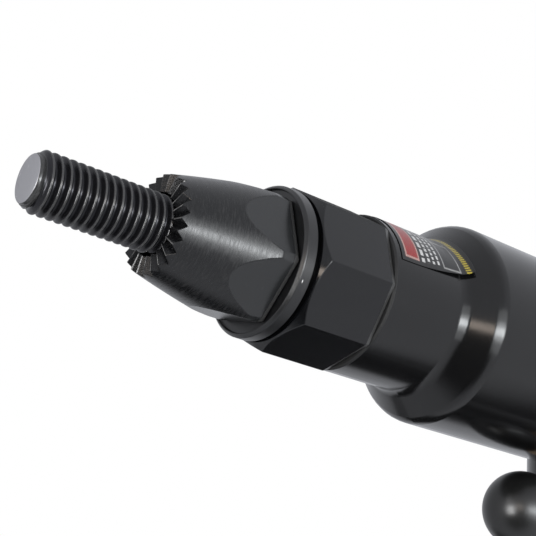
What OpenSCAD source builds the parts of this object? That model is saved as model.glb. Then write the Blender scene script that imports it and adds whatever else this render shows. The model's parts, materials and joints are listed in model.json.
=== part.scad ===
// Air-driven rivet nut tool with a pistol grip, in millimetres.
// The origin is on the mandrel's axis at the root of its free thread, just ahead of the nosepiece's
// teeth, +X runs to the rear, +Z is up.

/* [Mandrel] */
// Outside diameter of the thread
thread_d = 10; // [8:0.5:11]
// Length of the free thread
thread_out = 22; // [15:0.1:30]
// Step down from the thread to the plain shank
shank_step = 0.35; // [0.2:0.05:0.5]
// Diameter of the flat end of the thread
thread_tip_d = 7.4; // [6:0.1:7.8]
// Diameter of the socket head
head_d = 16; // [14:0.5:17]
// Length of the socket head
head_len = 10; // [8:0.5:12]
// Size across the flats of the driving hexagon
drive_af = 8; // [6:0.5:8.5]
// Depth of the hexagon socket in the head
socket_depth = 6; // [4:0.5:7]

/* [Nosepiece] */
// Gap between the root of the free thread and the tooth tips
nose_gap = 0.3; // [0.2:0.05:1]
// Diameter over the tooth tips
nose_tip_d = 16.6; // [15:0.1:18]
// Largest diameter
nose_d = 24; // [23:0.1:26]
// Diameter at the back of the flats
nose_rear_d = 23.7; // [22:0.1:24]
// Length from the tooth tips to the back of the flats
nose_len = 20.3; // [18:0.1:24]
// Length of the curved nose
ogive_len = 17.5; // [14:0.5:18]
// Radius of the nose's curve
ogive_r = 220; // [60:1:300]
// Size across the six wrench flats
nose_af = 21.3; // [20:0.1:22]
// Angle of a corner of the flats from the top
nose_clock = 35; // [0:1:60]
// Number of teeth on the front
tooth_count = 24; // [16:1:30]
// Tooth depth as a share of the radius
tooth_slope = 0.165; // [0.1:0.005:0.18]
// Flat left on each tooth as a share of the pitch
tooth_land = 0.06; // [0.03:0.01:0.3]
// Angle of a groove from the top
tooth_clock = 7.3; // [0:0.1:15]
// Diameter of the threaded stud
stud_d = 20; // [18:0.5:20.5]
// Length of the threaded stud
stud_len = 9.5; // [7:0.5:12]

/* [Lock ring] */
// Outside diameter
ring_d = 26.7; // [26:0.1:30]
// Chamfer on the rim's front edge
ring_chamfer = 0.5; // [0.2:0.1:0.8]
// Diameter of the recess in the front face
ring_recess_d = 25.2; // [24.4:0.1:25.4]
// Depth of the recess in the front face
ring_recess = 0.5; // [0.2:0.1:1]
// Width of the rim
ring_w = 2.5; // [2:0.1:4]
// Width of the narrow boss behind the rim
ring_boss_w = 1.0; // [0.6:0.1:2]
// Diameter of the boss
ring_boss_d = 23.6; // [22.5:0.1:25]

/* [Collar] */
// Size across the eight flats
collar_af = 27; // [26:0.5:30]
// Length over the flats
collar_len = 15.4; // [13:0.1:18]
// Chamfer on the front corners
collar_chamfer = 1.3; // [0.8:0.1:1.8]
// Chamfer on the rear corners
collar_rear_chamfer = 0.4; // [0.2:0.1:0.8]
// Thickness of the web that carries the thrust bearing
web_t = 2; // [1.5:0.1:3]
// Wall of the stud that screws into the neck
collar_stud_wall = 1.5; // [1.2:0.1:1.6]

/* [Thrust bearing] */
// Thickness of a washer
washer_t = 1; // [0.8:0.1:1.5]
// Diameter of a needle
needle_d = 1.9; // [1.5:0.1:2.4]
// Number of needles
needle_count = 16; // [10:1:16]
// Length of a needle
needle_len = 2.4; // [2:0.1:2.6]
// Thickness of the cage
cage_t = 1.2; // [0.8:0.1:1.4]

/* [Body] */
// Diameter of the neck
neck_d = 28.4; // [28:0.1:30]
// Length of the neck up to the shoulder's slope
neck_len = 16.8; // [15:0.1:20]
// Radius of the shoulder's two fillets
shoulder_fillet = 3; // [1:0.1:4]
// Diameter of the barrel
body_d = 38; // [37.6:0.1:42]
// Wall of the barrel
body_wall = 2; // [1.8:0.1:2.2]
// Chamfer on the barrel's rear edge
body_chamfer = 0.6; // [0.3:0.1:1]
// Length of thread that holds the rear cap
cap_thread_len = 11; // [8:0.5:16]

/* [Bearings] */
// Bore of the spindle bearing
spindle_bearing_id = 12; // [11:1:12]
// Outside diameter of the spindle bearing
spindle_bearing_od = 24; // [23:1:25]
// Width of the spindle bearing
spindle_bearing_w = 6; // [5:0.5:7]
// Bore of the rotor bearings
rotor_bearing_id = 11; // [10.5:0.5:11.5]
// Outside diameter of the rotor bearings
rotor_bearing_od = 19; // [18:1:22]
// Width of the rotor bearings
rotor_bearing_w = 5; // [4:0.5:6]
// Number of balls in a bearing
ball_count = 8; // [6:1:9]

/* [Gears] */
// Thickness of the ring gear behind its teeth
ring_gear_wall = 1.55; // [1.4:0.05:2]
// Teeth on the sun pinion
sun_teeth = 12; // [12:3:12]
// Teeth on a planet
planet_teeth = 15; // [15:3:15]
// Width of a planet
planet_w = 8; // [6:0.5:12]
// Diameter of a planet's pin
planet_pin_d = 4; // [3:0.5:5]
// Length of the driving hexagon inside the spindle
bit_reach = 9.7; // [7:0.1:12]
// Thickness of the spindle's flange
flange_t = 3.2; // [2.5:0.1:5]
// Play between two gears' teeth
backlash = 0.12; // [0.08:0.01:0.2]

/* [Motor] */
// Length of the rotor
rotor_len = 46; // [36:1:60]
// Distance of the cylinder's bore from the rotor's axis
eccentricity = 1.2; // [0.8:0.1:1.4]
// Thinnest wall of the cylinder
cylinder_wall = 2.5; // [2:0.1:3]
// Number of vanes
vane_count = 5; // [4:1:6]
// Thickness of a vane
vane_t = 1.5; // [1:0.1:2]
// Depth of a vane
vane_depth = 5.2; // [4:0.1:5.5]
// Thickness of the end plates' lips
plate_lip = 1.2; // [1:0.1:2]

/* [Handle] */
// Place of the handle's middle line on the barrel's axis
grip_x = 117; // [112:0.5:125]
// Depth of the handle from front to back
grip_depth = 40; // [38:0.5:44]
// Width of the handle
grip_w = 30; // [29:0.5:34]
// Length of the handle from the barrel's axis
grip_len = 116; // [100:1:135]
// Backward lean of the handle
grip_lean = 10; // [5:1:12]

/* [Trigger and throttle] */
// Diameter of the trigger's ball
trigger_ball_d = 15; // [13:0.1:18]
// Distance of the trigger's axis below the barrel
trigger_drop = 10.3; // [9.5:0.1:12]
// Travel of the trigger
trigger_travel = 4.5; // [3:0.5:6]
// Diameter of the trigger's stem
stem_d = 5; // [4:0.5:6]
// Length of the stem's bushing
bushing_len = 8; // [6:0.5:9]
// Wall of the bushing round the stem
bushing_wall = 3.5; // [3:0.1:4]
// Thickness of the bushing's flange
bushing_flange_t = 1.6; // [1:0.1:2]
// Thickness of the valve's seat and of the valve
seat_t = 3; // [2:0.1:4]
// Diameter of the throttle chamber
chamber_d = 14; // [13:0.5:15]
// Length of the plug behind the spring
plug_len = 7; // [5:0.5:9]
// Size across the flats of the plug's socket
plug_af = 6; // [5:0.5:8]
// Diameter of the spring's wire
spring_wire_d = 0.9; // [0.6:0.1:1.2]
// Turns of the spring
spring_turns = 6; // [4:1:8]

/* [Rear cap and reverse] */
// Length of the rear cap outside the barrel
cap_len = 11; // [9:0.5:16]
// Diameter of the reverse valve
reverse_d = 15; // [13:0.5:17]
// Diameter of the reverse knob
knob_d = 25; // [22:0.5:30]
// Length of the reverse knob
knob_len = 9; // [7:0.5:12]

/* [Inlet and exhaust] */
// Bore of the inlet's female thread
inlet_bore_d = 11.44; // [10:0.01:12]
// Length of the inlet's female thread
inlet_thread_len = 12; // [9:0.5:14]
// Size across the inlet's flats
inlet_af = 19; // [18:0.5:22]
// Length of the inlet's hexagon
inlet_hex_len = 9; // [7:0.5:12]
// Diameter of the thread that holds the inlet
inlet_male_d = 16; // [15:0.5:17]
// Thickness of the exhaust cap
exhaust_t = 7; // [6:0.5:10]
// Number of vents on each side of the exhaust cap
vent_count = 4; // [3:1:5]

/* [Hidden] */
$fn = 96;
// Overshoot of a cut past the face it leaves
over = 1;

// Clearances, radial or along the axis
thread_gap = 0.05;
run_gap = 0.05;
seat_gap = 0.02;
mandrel_gap = 0.35;
free_gap = 0.4;
roll_gap = 0.05;
ball_gap = 0.1;
air_gap = 1;
ring_gap = 0.2;
stud_end_gap = 0.7;
rotor_gap = 0.3;
planet_gap = 0.6;
fit_play = 0.1;

// Steps and lips inside the barrel
spindle_lead = 0.5;
collar_stud_len = 7;
bearing_lip_t = 2.5;
bearing_lip_w = 0.5;
flange_lead = 1.4;
shoulder_lead = 2.2;
shoulder_step = 1.6;
journal_step = 1.2;
pin_wall = 2.05;
rear_edge = 0.6;

// Stations along the barrel, from the nose to the rear
nose_x1 = nose_gap + nose_len;
ring_x0 = nose_x1 + ring_gap;
ring_x1 = ring_x0 + ring_w;
collar_x0 = ring_x1 + ring_boss_w;
collar_x1 = collar_x0 + collar_len;
stud_x1 = nose_x1 + stud_len;
web_x0 = stud_x1 + stud_end_gap;
web_x1 = web_x0 + web_t;
cage_x0 = web_x1 + washer_t;
cage_x1 = cage_x0 + needle_d + 2 * roll_gap;
head_x0 = cage_x1 + washer_t;
head_x1 = head_x0 + head_len;
spindle_x0 = head_x1 + air_gap;
lip_x0 = max(spindle_x0 + spindle_lead, collar_x1 + collar_stud_len);
spindle_bearing_x0 = lip_x0 + bearing_lip_t;
spindle_bearing_x1 = spindle_bearing_x0 + spindle_bearing_w;
slope_x0 = collar_x1 + neck_len;
slope_x1 = slope_x0 + (body_d - neck_d) / 2;
flange_x0 = max(spindle_bearing_x1 + flange_lead, slope_x0 + shoulder_lead);
flange_x1 = flange_x0 + flange_t;
gear_x0 = max(flange_x1 + free_gap, slope_x1 + air_gap);
planet_x0 = gear_x0 + planet_gap;
planet_x1 = planet_x0 + planet_w;
gear_x1 = planet_x1 + air_gap;
front_plate_x1 = gear_x1 + rotor_bearing_w + plate_lip;
rotor_x0 = front_plate_x1 + rotor_gap;
rotor_x1 = rotor_x0 + rotor_len;
rear_plate_x0 = rotor_x1 + rotor_gap;
rear_plate_x1 = rear_plate_x0 + plate_lip + rotor_bearing_w;
grip_top_rear_x = grip_x + body_d / 2 * tan(grip_lean) + grip_depth / 2 / cos(grip_lean);
body_x1 = max(rear_plate_x1 + cap_thread_len, grip_top_rear_x + rear_edge);
cap_x0 = rear_plate_x1 + ring_gap;
cap_x1 = body_x1 + cap_len;

// Radii along the barrel
thread_r = thread_d / 2;
shank_r = thread_r - shank_step;
nose_bore_r = thread_r + mandrel_gap;
chamber_r = head_d / 2 + shoulder_step;
thrust_r = chamber_r - mandrel_gap;
thrust_bore_r = thread_r + free_gap;
collar_stud_r = chamber_r + collar_stud_wall;
collar_corner_r = collar_af / 2 / cos(22.5);
body_r = body_d / 2;
bore_r = body_r - body_wall;
fit_r = bore_r - thread_gap;
lip_r = (spindle_bearing_od + spindle_bearing_id) / 4 + bearing_lip_w;
spindle_r = spindle_bearing_id / 2 - seat_gap;
journal_r = rotor_bearing_id / 2 - seat_gap;
journal_shoulder_r = journal_r + journal_step;

// Gears: stub teeth at a pressure angle of 25 degrees
pressure_angle = 25;
stub = 0.8;
ring_teeth = sun_teeth + 2 * planet_teeth;
gear_module = (fit_r - ring_gear_wall) / (ring_teeth / 2 + 1);
addendum = stub * gear_module;
dedendum = gear_module;
planet_orbit = gear_module * (sun_teeth + planet_teeth) / 2;
planet_pin_r = planet_pin_d / 2;
flange_r = planet_orbit + planet_pin_r + pin_wall;
planet_angles = [0, 120, 240];

// Motor
cylinder_r = fit_r - cylinder_wall - eccentricity;
rotor_r = cylinder_r - eccentricity - fit_play;

// Handle frame and the trigger's axis
trigger_z = -(body_r + trigger_drop);
grip_mid_x = grip_x - trigger_z * tan(grip_lean);
grip_half = grip_depth / 2 / cos(grip_lean);
bushing_stand = 1;
bushing_x0 = grip_mid_x - grip_half - bushing_stand;
bushing_x1 = bushing_x0 + bushing_len;
bushing_r = stem_d / 2 + bushing_wall;
bushing_flange_r = bushing_r + 1.3;
passage_r = 3;
passage_space = 4;
seat_x0 = bushing_x1 + passage_space;
seat_x1 = seat_x0 + seat_t;
valve_x0 = seat_x1 + roll_gap;
valve_x1 = valve_x0 + seat_t;
valve_pilot = 2;
plug_set = 1.5;
plug_x1 = grip_mid_x + grip_half - plug_set;
plug_x0 = plug_x1 - plug_len;
ball_flat = 0.42 * trigger_ball_d / 2;
ball_rest_gap = 0.45;
ball_x = bushing_x0 - trigger_travel - ball_rest_gap - ball_flat;
stem_hold = 1.5;
stem_x0 = ball_x - stem_hold;
spring_wall = 2.5;
spring_r = chamber_d / 2 - spring_wall;
seal_wire_d = 1.6;
seal_pocket = 2.4;

// Foot of the handle
screw_r = 1.5;
screw_inset = 5;
screw_x = grip_depth / 2 - screw_inset;
screw_depth = 9;
screw_head_t = 1.8;
screw_af = 2;
felt_wall = 3;
felt_t = 3.5;
felt_hub = 2.1;
felt_gap = 0.2;
vent_r = 1.1;
exhaust_bore_r = 2.4;
exhaust_x = 6;
exhaust_stop = 11;
vent_pitch = 3.6;
vent_inset = 4.6;
inlet_passage_r = 4.5;
inlet_thread_up = 12;
inlet_spare = 0.5;
screen_t = 1;
screen_seat = 2;
screen_step = 1;
screen_hole_r = 0.8;

// Rear cap and reverse valve
reverse_r = reverse_d / 2;
cap_pocket = 3;
reverse_x0 = cap_x0 + 1.5 * cap_pocket;
cap_seal_x = body_x1 - cap_pocket;
knob_x0 = cap_x1 + free_gap;
knob_x1 = knob_x0 + knob_len;
knob_floor = 3;
knob_screw_len = 11;
knob_head_t = 1.6;
knob_head_r = 2.9;
retainer_t = 1;
retainer_groove = 0.8;
retainer_x0 = reverse_x0 + retainer_t;

// Turns the local Z axis to run rearward along X, starting at x
module on_axis(x) {
    translate([x, 0, 0]) rotate([0, 90, 0]) children();
}

// Puts children on the trigger's axis, starting at x
module on_trigger(x) {
    translate([0, 0, trigger_z]) on_axis(x) children();
}

// Puts children in the leaning frame of the handle, with local Z up the handle
module in_grip() {
    translate([grip_x, 0, 0]) rotate([0, -grip_lean, 0]) children();
}

// Ring of length len from outer radius ro to inner radius ri
module ring(len, ro, ri) {
    difference() {
        cylinder(h = len, r = ro);
        translate([0, 0, -over]) cylinder(h = len + 2 * over, r = ri);
    }
}

// Hexagonal prism given by its size across the flats
module hex_bar(len, af) {
    cylinder(h = len, r = af / 2 / cos(30), $fn = 6);
}

// Round ring seal lying in the XY plane
module seal_ring(mean_r, wire_d) {
    rotate_extrude() translate([mean_r, 0]) circle(d = wire_d);
}

// Involute of angle a in degrees
function inv(a) = tan(a) * 180 / PI - a;

// Half the angle of a gear's tooth at radius r, with the teeth changed by grow at the pitch circle
function tooth_half(z, r, grow) =
    let (rp = gear_module * z / 2)
    let (rb = rp * cos(pressure_angle))
    (PI * gear_module / 4 + grow / 2) / rp * 180 / PI + inv(pressure_angle) - inv(acos(min(1, rb / r)));

// Outline of a gear from radius r_root to r_tip, with a tooth on the local X axis
function gear_outline(z, r_root, r_tip, grow) =
    let (rb = gear_module * z / 2 * cos(pressure_angle))
    let (r0 = max(rb + 0.01, r_root))
    let (steps = 4)
    let (radii = [for (i = [0:steps]) r0 + (r_tip - r0) * i / steps])
    [for (k = [0:z - 1], p = concat(
        [[r_root, -tooth_half(z, r0, grow)]],
        [for (i = [0:steps]) [radii[i], -tooth_half(z, radii[i], grow)]],
        [for (i = [steps:-1:0]) [radii[i], tooth_half(z, radii[i], grow)]],
        [[r_root, tooth_half(z, r0, grow)]]
    )) p[0] * [cos(360 * k / z + p[1]), sin(360 * k / z + p[1])]];

// External gear of width w
module gear(z, w) {
    rp = gear_module * z / 2;
    linear_extrude(w) polygon(gear_outline(z, rp - dedendum, rp + addendum, -backlash / 2));
}

// Ball bearing sizes from its bore and outside diameter
function ball_orbit(id, od) = (id + od) / 4;
function ball_radius(id, od) = 0.145 * (od - id);
function land_step(id, od) = 0.62 * ball_radius(id, od);

module ball_groove(id, od, w) {
    translate([0, 0, w / 2]) seal_ring(ball_orbit(id, od), 2 * (ball_radius(id, od) + ball_gap));
}

module bearing_outer(id, od, w) {
    difference() {
        ring(w, od / 2, ball_orbit(id, od) + land_step(id, od));
        ball_groove(id, od, w);
    }
}

module bearing_inner(id, od, w) {
    difference() {
        ring(w, ball_orbit(id, od) - land_step(id, od), id / 2);
        ball_groove(id, od, w);
    }
}

module bearing_balls(id, od, w) {
    for (i = [0:ball_count - 1])
        rotate([0, 0, 360 * i / ball_count])
            translate([ball_orbit(id, od), 0, w / 2]) sphere(r = ball_radius(id, od));
}

// Section of the handle, grown outwards by grow
module grip_section(grow = 0) {
    w = grip_w + 2 * grow;
    for (s = [-1, 1]) translate([s * (grip_depth - grip_w) / 2, 0]) circle(d = w);
    square([grip_depth - grip_w, w], center = true);
}

// Outline of the curved nose, from the axis outwards
module nose_outline() {
    chord = norm([ogive_len, (nose_d - nose_tip_d) / 2]);
    rise = (nose_d - nose_tip_d) / 2 / chord;
    run = ogive_len / chord;
    reach = sqrt(ogive_r * ogive_r - chord * chord / 4);
    mid_r = (nose_d + nose_tip_d) / 4;
    intersection() {
        square([nose_d / 2, ogive_len]);
        translate([mid_r - reach * run, ogive_len / 2 + reach * rise]) circle(r = ogive_r, $fn = 480);
    }
    polygon([[0, ogive_len], [nose_d / 2, ogive_len], [nose_rear_d / 2, nose_len], [0, nose_len]]);
}

// One tooth groove, its root line rising from the axis
module tooth_groove() {
    half_width = tan(180 / tooth_count * (1 - tooth_land));
    depth = 3;
    reach = nose_d / 2;
    half = half_width / tooth_slope * depth;
    rotate([0, atan(tooth_slope), 0])
        linear_extrude(reach) polygon([[0, 0], [-depth, half], [-depth, -half]]);
}

module mandrel() {
    color([0.2, 0.2, 0.21]) {
        on_axis(-thread_out)
            cylinder(h = thread_r - thread_tip_d / 2, r1 = thread_tip_d / 2, r2 = thread_r);
        on_axis(-thread_out + thread_r - thread_tip_d / 2)
            cylinder(h = thread_out - thread_r + thread_tip_d / 2, r = thread_r);
        on_axis(0) cylinder(h = head_x0, r = shank_r);
        difference() {
            on_axis(head_x0) cylinder(h = head_len, r = head_d / 2);
            on_axis(head_x1 - socket_depth) hex_bar(socket_depth + over, drive_af + 2 * run_gap);
        }
    }
}

module nosepiece() {
    color([0.12, 0.12, 0.13])
    translate([nose_gap, 0, 0]) difference() {
        union() {
            intersection() {
                on_axis(0) rotate_extrude() nose_outline();
                rotate([nose_clock, 0, 0]) on_axis(-over) hex_bar(nose_len + 2 * over, nose_af);
            }
            on_axis(nose_len) cylinder(h = stud_len, r = stud_d / 2);
        }
        on_axis(-over) cylinder(h = stud_x1 + 2 * over, r = nose_bore_r);
        for (i = [0:tooth_count - 1])
            rotate([tooth_clock + 360 * i / tooth_count, 0, 0]) tooth_groove();
    }
}

module lock_ring() {
    r = ring_d / 2;
    color([0.22, 0.22, 0.23])
    difference() {
        union() {
            on_axis(ring_x0) cylinder(h = ring_chamfer, r1 = r - ring_chamfer, r2 = r);
            on_axis(ring_x0 + ring_chamfer) cylinder(h = ring_w - ring_chamfer, r = r);
            on_axis(ring_x1) cylinder(h = ring_boss_w, r = ring_boss_d / 2);
        }
        on_axis(ring_x0 - over) cylinder(h = collar_x0 - ring_x0 + 2 * over, r = stud_d / 2 + thread_gap);
        on_axis(ring_x0 - over) cylinder(h = ring_recess + over, d = ring_recess_d);
    }
}

// Outline of the collar's two chamfers, from the axis outwards
module collar_outline() {
    r = collar_corner_r;
    polygon([
        [0, 0], [r - collar_chamfer, 0], [r, collar_chamfer],
        [r, collar_len - collar_rear_chamfer], [r - collar_rear_chamfer, collar_len], [0, collar_len]
    ]);
}

module nose_collar() {
    color([0.11, 0.12, 0.14])
    difference() {
        union() {
            intersection() {
                on_axis(collar_x0) cylinder(h = collar_len, r = collar_corner_r, $fn = 8);
                on_axis(collar_x0) rotate_extrude() collar_outline();
            }
            on_axis(collar_x1) cylinder(h = lip_x0 - collar_x1, r = collar_stud_r);
        }
        on_axis(collar_x0 - over) cylinder(h = web_x0 - collar_x0 + over, r = stud_d / 2 + thread_gap);
        on_axis(collar_x0) cylinder(h = lip_x0 - collar_x0, r = nose_bore_r + free_gap);
        on_axis(web_x1) cylinder(h = lip_x0 - web_x1 + over, r = chamber_r);
    }
}

module thrust_washer_front() {
    color([0.6, 0.6, 0.62]) on_axis(web_x1) ring(washer_t, thrust_r, thrust_bore_r);
}

module thrust_washer_rear() {
    color([0.6, 0.6, 0.62]) on_axis(cage_x1) ring(washer_t, thrust_r, thrust_bore_r);
}

// Places children at each needle, with local X pointing outwards
module at_needles() {
    for (i = [0:needle_count - 1])
        on_axis((cage_x0 + cage_x1) / 2)
            rotate([0, 0, 360 * i / needle_count])
                translate([(thrust_r + thrust_bore_r) / 2, 0, 0]) children();
}

module thrust_cage() {
    slot_gap = 0.1;
    color([0.7, 0.6, 0.35])
    difference() {
        on_axis((cage_x0 + cage_x1 - cage_t) / 2) ring(cage_t, thrust_r, thrust_bore_r);
        at_needles() cube([needle_len + 2 * slot_gap, needle_d + slot_gap, cage_t + 2 * over], center = true);
    }
}

module thrust_needles() {
    color([0.75, 0.75, 0.77])
        at_needles() rotate([0, 90, 0]) cylinder(h = needle_len, d = needle_d, center = true);
}

module drive_bit() {
    color([0.4, 0.4, 0.42])
        on_axis(head_x1 - socket_depth + rotor_gap)
            hex_bar(spindle_x0 + bit_reach - head_x1 + socket_depth, drive_af);
}

module output_spindle() {
    color([0.55, 0.55, 0.57])
    difference() {
        union() {
            on_axis(spindle_x0) cylinder(h = flange_x0 - spindle_x0, r = spindle_r);
            on_axis(spindle_bearing_x1)
                cylinder(h = flange_x0 - spindle_bearing_x1, r = spindle_r + shoulder_step);
            on_axis(flange_x0) cylinder(h = flange_t, r = flange_r);
        }
        on_axis(spindle_x0 - over) hex_bar(bit_reach + spindle_lead + over, drive_af + 2 * run_gap);
        for (a = planet_angles)
            rotate([a, 0, 0]) translate([0, 0, planet_orbit])
                on_axis(flange_x0 - over) cylinder(h = flange_t + 2 * over, r = planet_pin_r);
    }
}

module planet_pins() {
    color([0.7, 0.7, 0.72])
        for (a = planet_angles)
            rotate([a, 0, 0]) translate([0, 0, planet_orbit])
                on_axis(flange_x0) cylinder(h = planet_x1 + free_gap - flange_x0, r = planet_pin_r);
}

// Planet at angle a from the top, with a tooth pointing outwards
module planet_gear(a) {
    color([0.62, 0.62, 0.6])
        rotate([a, 0, 0]) translate([0, 0, planet_orbit])
            on_axis(planet_x0) rotate([0, 0, 180])
                difference() {
                    gear(planet_teeth, planet_w);
                    translate([0, 0, -over]) cylinder(h = planet_w + 2 * over, r = planet_pin_r + run_gap);
                }
}

module planet_gear_1() {
    planet_gear(planet_angles[0]);
}

module planet_gear_2() {
    planet_gear(planet_angles[1]);
}

module planet_gear_3() {
    planet_gear(planet_angles[2]);
}

module ring_gear() {
    rp = gear_module * ring_teeth / 2;
    color([0.5, 0.5, 0.52])
        on_axis(gear_x0) difference() {
            cylinder(h = gear_x1 - gear_x0, r = fit_r);
            translate([0, 0, -over]) rotate([0, 0, 180]) linear_extrude(gear_x1 - gear_x0 + 2 * over)
                polygon(gear_outline(ring_teeth, rp - addendum, rp + dedendum, backlash / 2));
        }
}

module spindle_bearing_outer() {
    color([0.72, 0.72, 0.74])
        on_axis(spindle_bearing_x0) bearing_outer(spindle_bearing_id, spindle_bearing_od, spindle_bearing_w);
}

module spindle_bearing_balls() {
    color([0.85, 0.85, 0.87])
        on_axis(spindle_bearing_x0) bearing_balls(spindle_bearing_id, spindle_bearing_od, spindle_bearing_w);
}

module spindle_bearing_inner() {
    color([0.72, 0.72, 0.74])
        on_axis(spindle_bearing_x0) bearing_inner(spindle_bearing_id, spindle_bearing_od, spindle_bearing_w);
}

// End plate of the motor with its lip at z 0 and the bearing's pocket behind it
module end_plate() {
    difference() {
        cylinder(h = plate_lip + rotor_bearing_w, r = fit_r);
        translate([0, 0, plate_lip])
            cylinder(h = rotor_bearing_w + over, r = rotor_bearing_od / 2 + seat_gap);
        translate([0, 0, -over]) cylinder(h = plate_lip + 2 * over, r = journal_shoulder_r + free_gap);
    }
}

module front_end_plate() {
    color([0.5, 0.48, 0.42]) on_axis(front_plate_x1) mirror([0, 0, 1]) end_plate();
}

module rear_end_plate() {
    color([0.5, 0.48, 0.42]) on_axis(rear_plate_x0) end_plate();
}

module front_bearing_outer() {
    color([0.72, 0.72, 0.74]) on_axis(gear_x1)
        bearing_outer(rotor_bearing_id, rotor_bearing_od, rotor_bearing_w);
}

module front_bearing_balls() {
    color([0.85, 0.85, 0.87]) on_axis(gear_x1)
        bearing_balls(rotor_bearing_id, rotor_bearing_od, rotor_bearing_w);
}

module front_bearing_inner() {
    color([0.72, 0.72, 0.74]) on_axis(gear_x1)
        bearing_inner(rotor_bearing_id, rotor_bearing_od, rotor_bearing_w);
}

module at_rear_bearing() {
    on_axis(rear_plate_x0 + plate_lip) children();
}

module rear_bearing_outer() {
    color([0.72, 0.72, 0.74]) at_rear_bearing()
        bearing_outer(rotor_bearing_id, rotor_bearing_od, rotor_bearing_w);
}

module rear_bearing_balls() {
    color([0.85, 0.85, 0.87]) at_rear_bearing()
        bearing_balls(rotor_bearing_id, rotor_bearing_od, rotor_bearing_w);
}

module rear_bearing_inner() {
    color([0.72, 0.72, 0.74]) at_rear_bearing()
        bearing_inner(rotor_bearing_id, rotor_bearing_od, rotor_bearing_w);
}

// Places children in each vane slot, with local X pointing outwards from the axis
module at_vanes() {
    for (i = [0:vane_count - 1])
        on_axis(rotor_x0) rotate([0, 0, 360 * i / vane_count]) children();
}

module rotor() {
    slot_gap = 0.1;
    color([0.45, 0.45, 0.47])
    difference() {
        union() {
            on_axis(planet_x0 - ring_gap) rotate([0, 0, 180]) gear(sun_teeth, gear_x1 - planet_x0 + ring_gap);
            on_axis(gear_x1) cylinder(h = rotor_x0 - gear_x1, r = journal_r);
            on_axis(front_plate_x1 - plate_lip)
                cylinder(h = rotor_x0 - front_plate_x1 + plate_lip, r = journal_shoulder_r);
            on_axis(rotor_x0) cylinder(h = rotor_len, r = rotor_r);
            on_axis(rotor_x1) cylinder(h = rear_plate_x0 + plate_lip - rotor_x1, r = journal_shoulder_r);
            on_axis(rotor_x1) cylinder(h = rear_plate_x1 + 2 * free_gap - rotor_x1, r = journal_r);
        }
        at_vanes() translate([rotor_r - vane_depth - rotor_gap, -vane_t / 2 - slot_gap / 2, -over])
            cube([vane_depth + over, vane_t + slot_gap, rotor_len + 2 * over]);
    }
}

module rotor_vanes() {
    end_gap = 0.1;
    color([0.35, 0.22, 0.12])
        at_vanes() translate([rotor_r - vane_depth - rotor_gap, -vane_t / 2, end_gap])
            cube([vane_depth, vane_t, rotor_len - 2 * end_gap]);
}

module motor_cylinder() {
    slot_len = rotor_len / 9;
    slot_h = 6;
    color([0.5, 0.5, 0.52])
    difference() {
        on_axis(front_plate_x1) cylinder(h = rear_plate_x0 - front_plate_x1, r = fit_r);
        translate([0, 0, eccentricity]) on_axis(front_plate_x1 - over)
            cylinder(h = rear_plate_x0 - front_plate_x1 + 2 * over, r = cylinder_r);
        translate([seat_x0 - passage_space / 2, 0, -fit_r - over]) cylinder(h = fit_r, r = passage_r);
        for (i = [0:2])
            translate([rotor_x0 + (2 + 2.2 * i) * slot_len, fit_r / 2, -slot_h / 2])
                cube([slot_len, fit_r, slot_h]);
    }
}

// Outline of the neck, shoulder and barrel, from the axis outwards
module barrel_outline() {
    neck_r = neck_d / 2;
    reach = shoulder_fillet * tan(22.5);
    flat = reach * cos(45);
    edge = 0.3;
    difference() {
        polygon([
            [0, collar_x1], [neck_r - edge, collar_x1], [neck_r, collar_x1 + edge], [neck_r, slope_x0],
            [body_r, slope_x1], [body_r, body_x1 - body_chamfer],
            [body_r - body_chamfer, body_x1], [0, body_x1]
        ]);
        difference() {
            polygon([[body_r, slope_x1 + reach], [body_r + over, slope_x1],
                [body_r - flat, slope_x1 - flat]]);
            translate([body_r - shoulder_fillet, slope_x1 + reach]) circle(r = shoulder_fillet);
        }
    }
    difference() {
        polygon([[neck_r, slope_x0 - reach], [neck_r - over, slope_x0], [neck_r + flat, slope_x0 + flat]]);
        translate([neck_r + shoulder_fillet, slope_x0 - reach]) circle(r = shoulder_fillet);
    }
}

// Bores of the barrel, from the front to the rear
module barrel_bores() {
    on_axis(collar_x1 - over) cylinder(h = lip_x0 - collar_x1 + over, r = collar_stud_r + thread_gap);
    on_axis(collar_x1) cylinder(h = body_x1 - collar_x1, r = lip_r);
    on_axis(spindle_bearing_x0)
        cylinder(h = gear_x0 - spindle_bearing_x0, r = spindle_bearing_od / 2 + seat_gap);
    on_axis(flange_x0 - free_gap)
        cylinder(h = gear_x0 - flange_x0 + free_gap + over, r = flange_r + stud_end_gap);
    on_axis(gear_x0) cylinder(h = body_x1 - gear_x0 + over, r = bore_r);
}

// Bores and passages of the throttle, the inlet and the exhaust
module handle_bores() {
    on_trigger(bushing_x0 - grip_half)
        cylinder(h = grip_half + bushing_flange_t, r = bushing_flange_r + rotor_gap);
    on_trigger(bushing_x0) cylinder(h = seat_x0 - bushing_x0 + over, r = bushing_r);
    on_trigger(seat_x0) cylinder(h = 2 * grip_depth, d = chamber_d);
    translate([seat_x0 - passage_space / 2, 0, trigger_z])
        cylinder(h = -trigger_z - bore_r + over, r = passage_r);
    in_grip() {
        translate([0, 0, -grip_len]) cylinder(h = grip_len + trigger_z, r = inlet_passage_r);
        translate([0, 0, -grip_len - over])
            cylinder(h = inlet_thread_up + over, r = inlet_male_d / 2 + thread_gap);
        for (s = [-1, 1]) {
            translate([exhaust_x, s * grip_w / 3, -grip_len - over])
                cylinder(h = grip_len - exhaust_stop, r = exhaust_bore_r);
            translate([s * screw_x, 0, -grip_len - over]) cylinder(h = screw_depth + 3 * over, r = screw_r);
        }
    }
}

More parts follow.
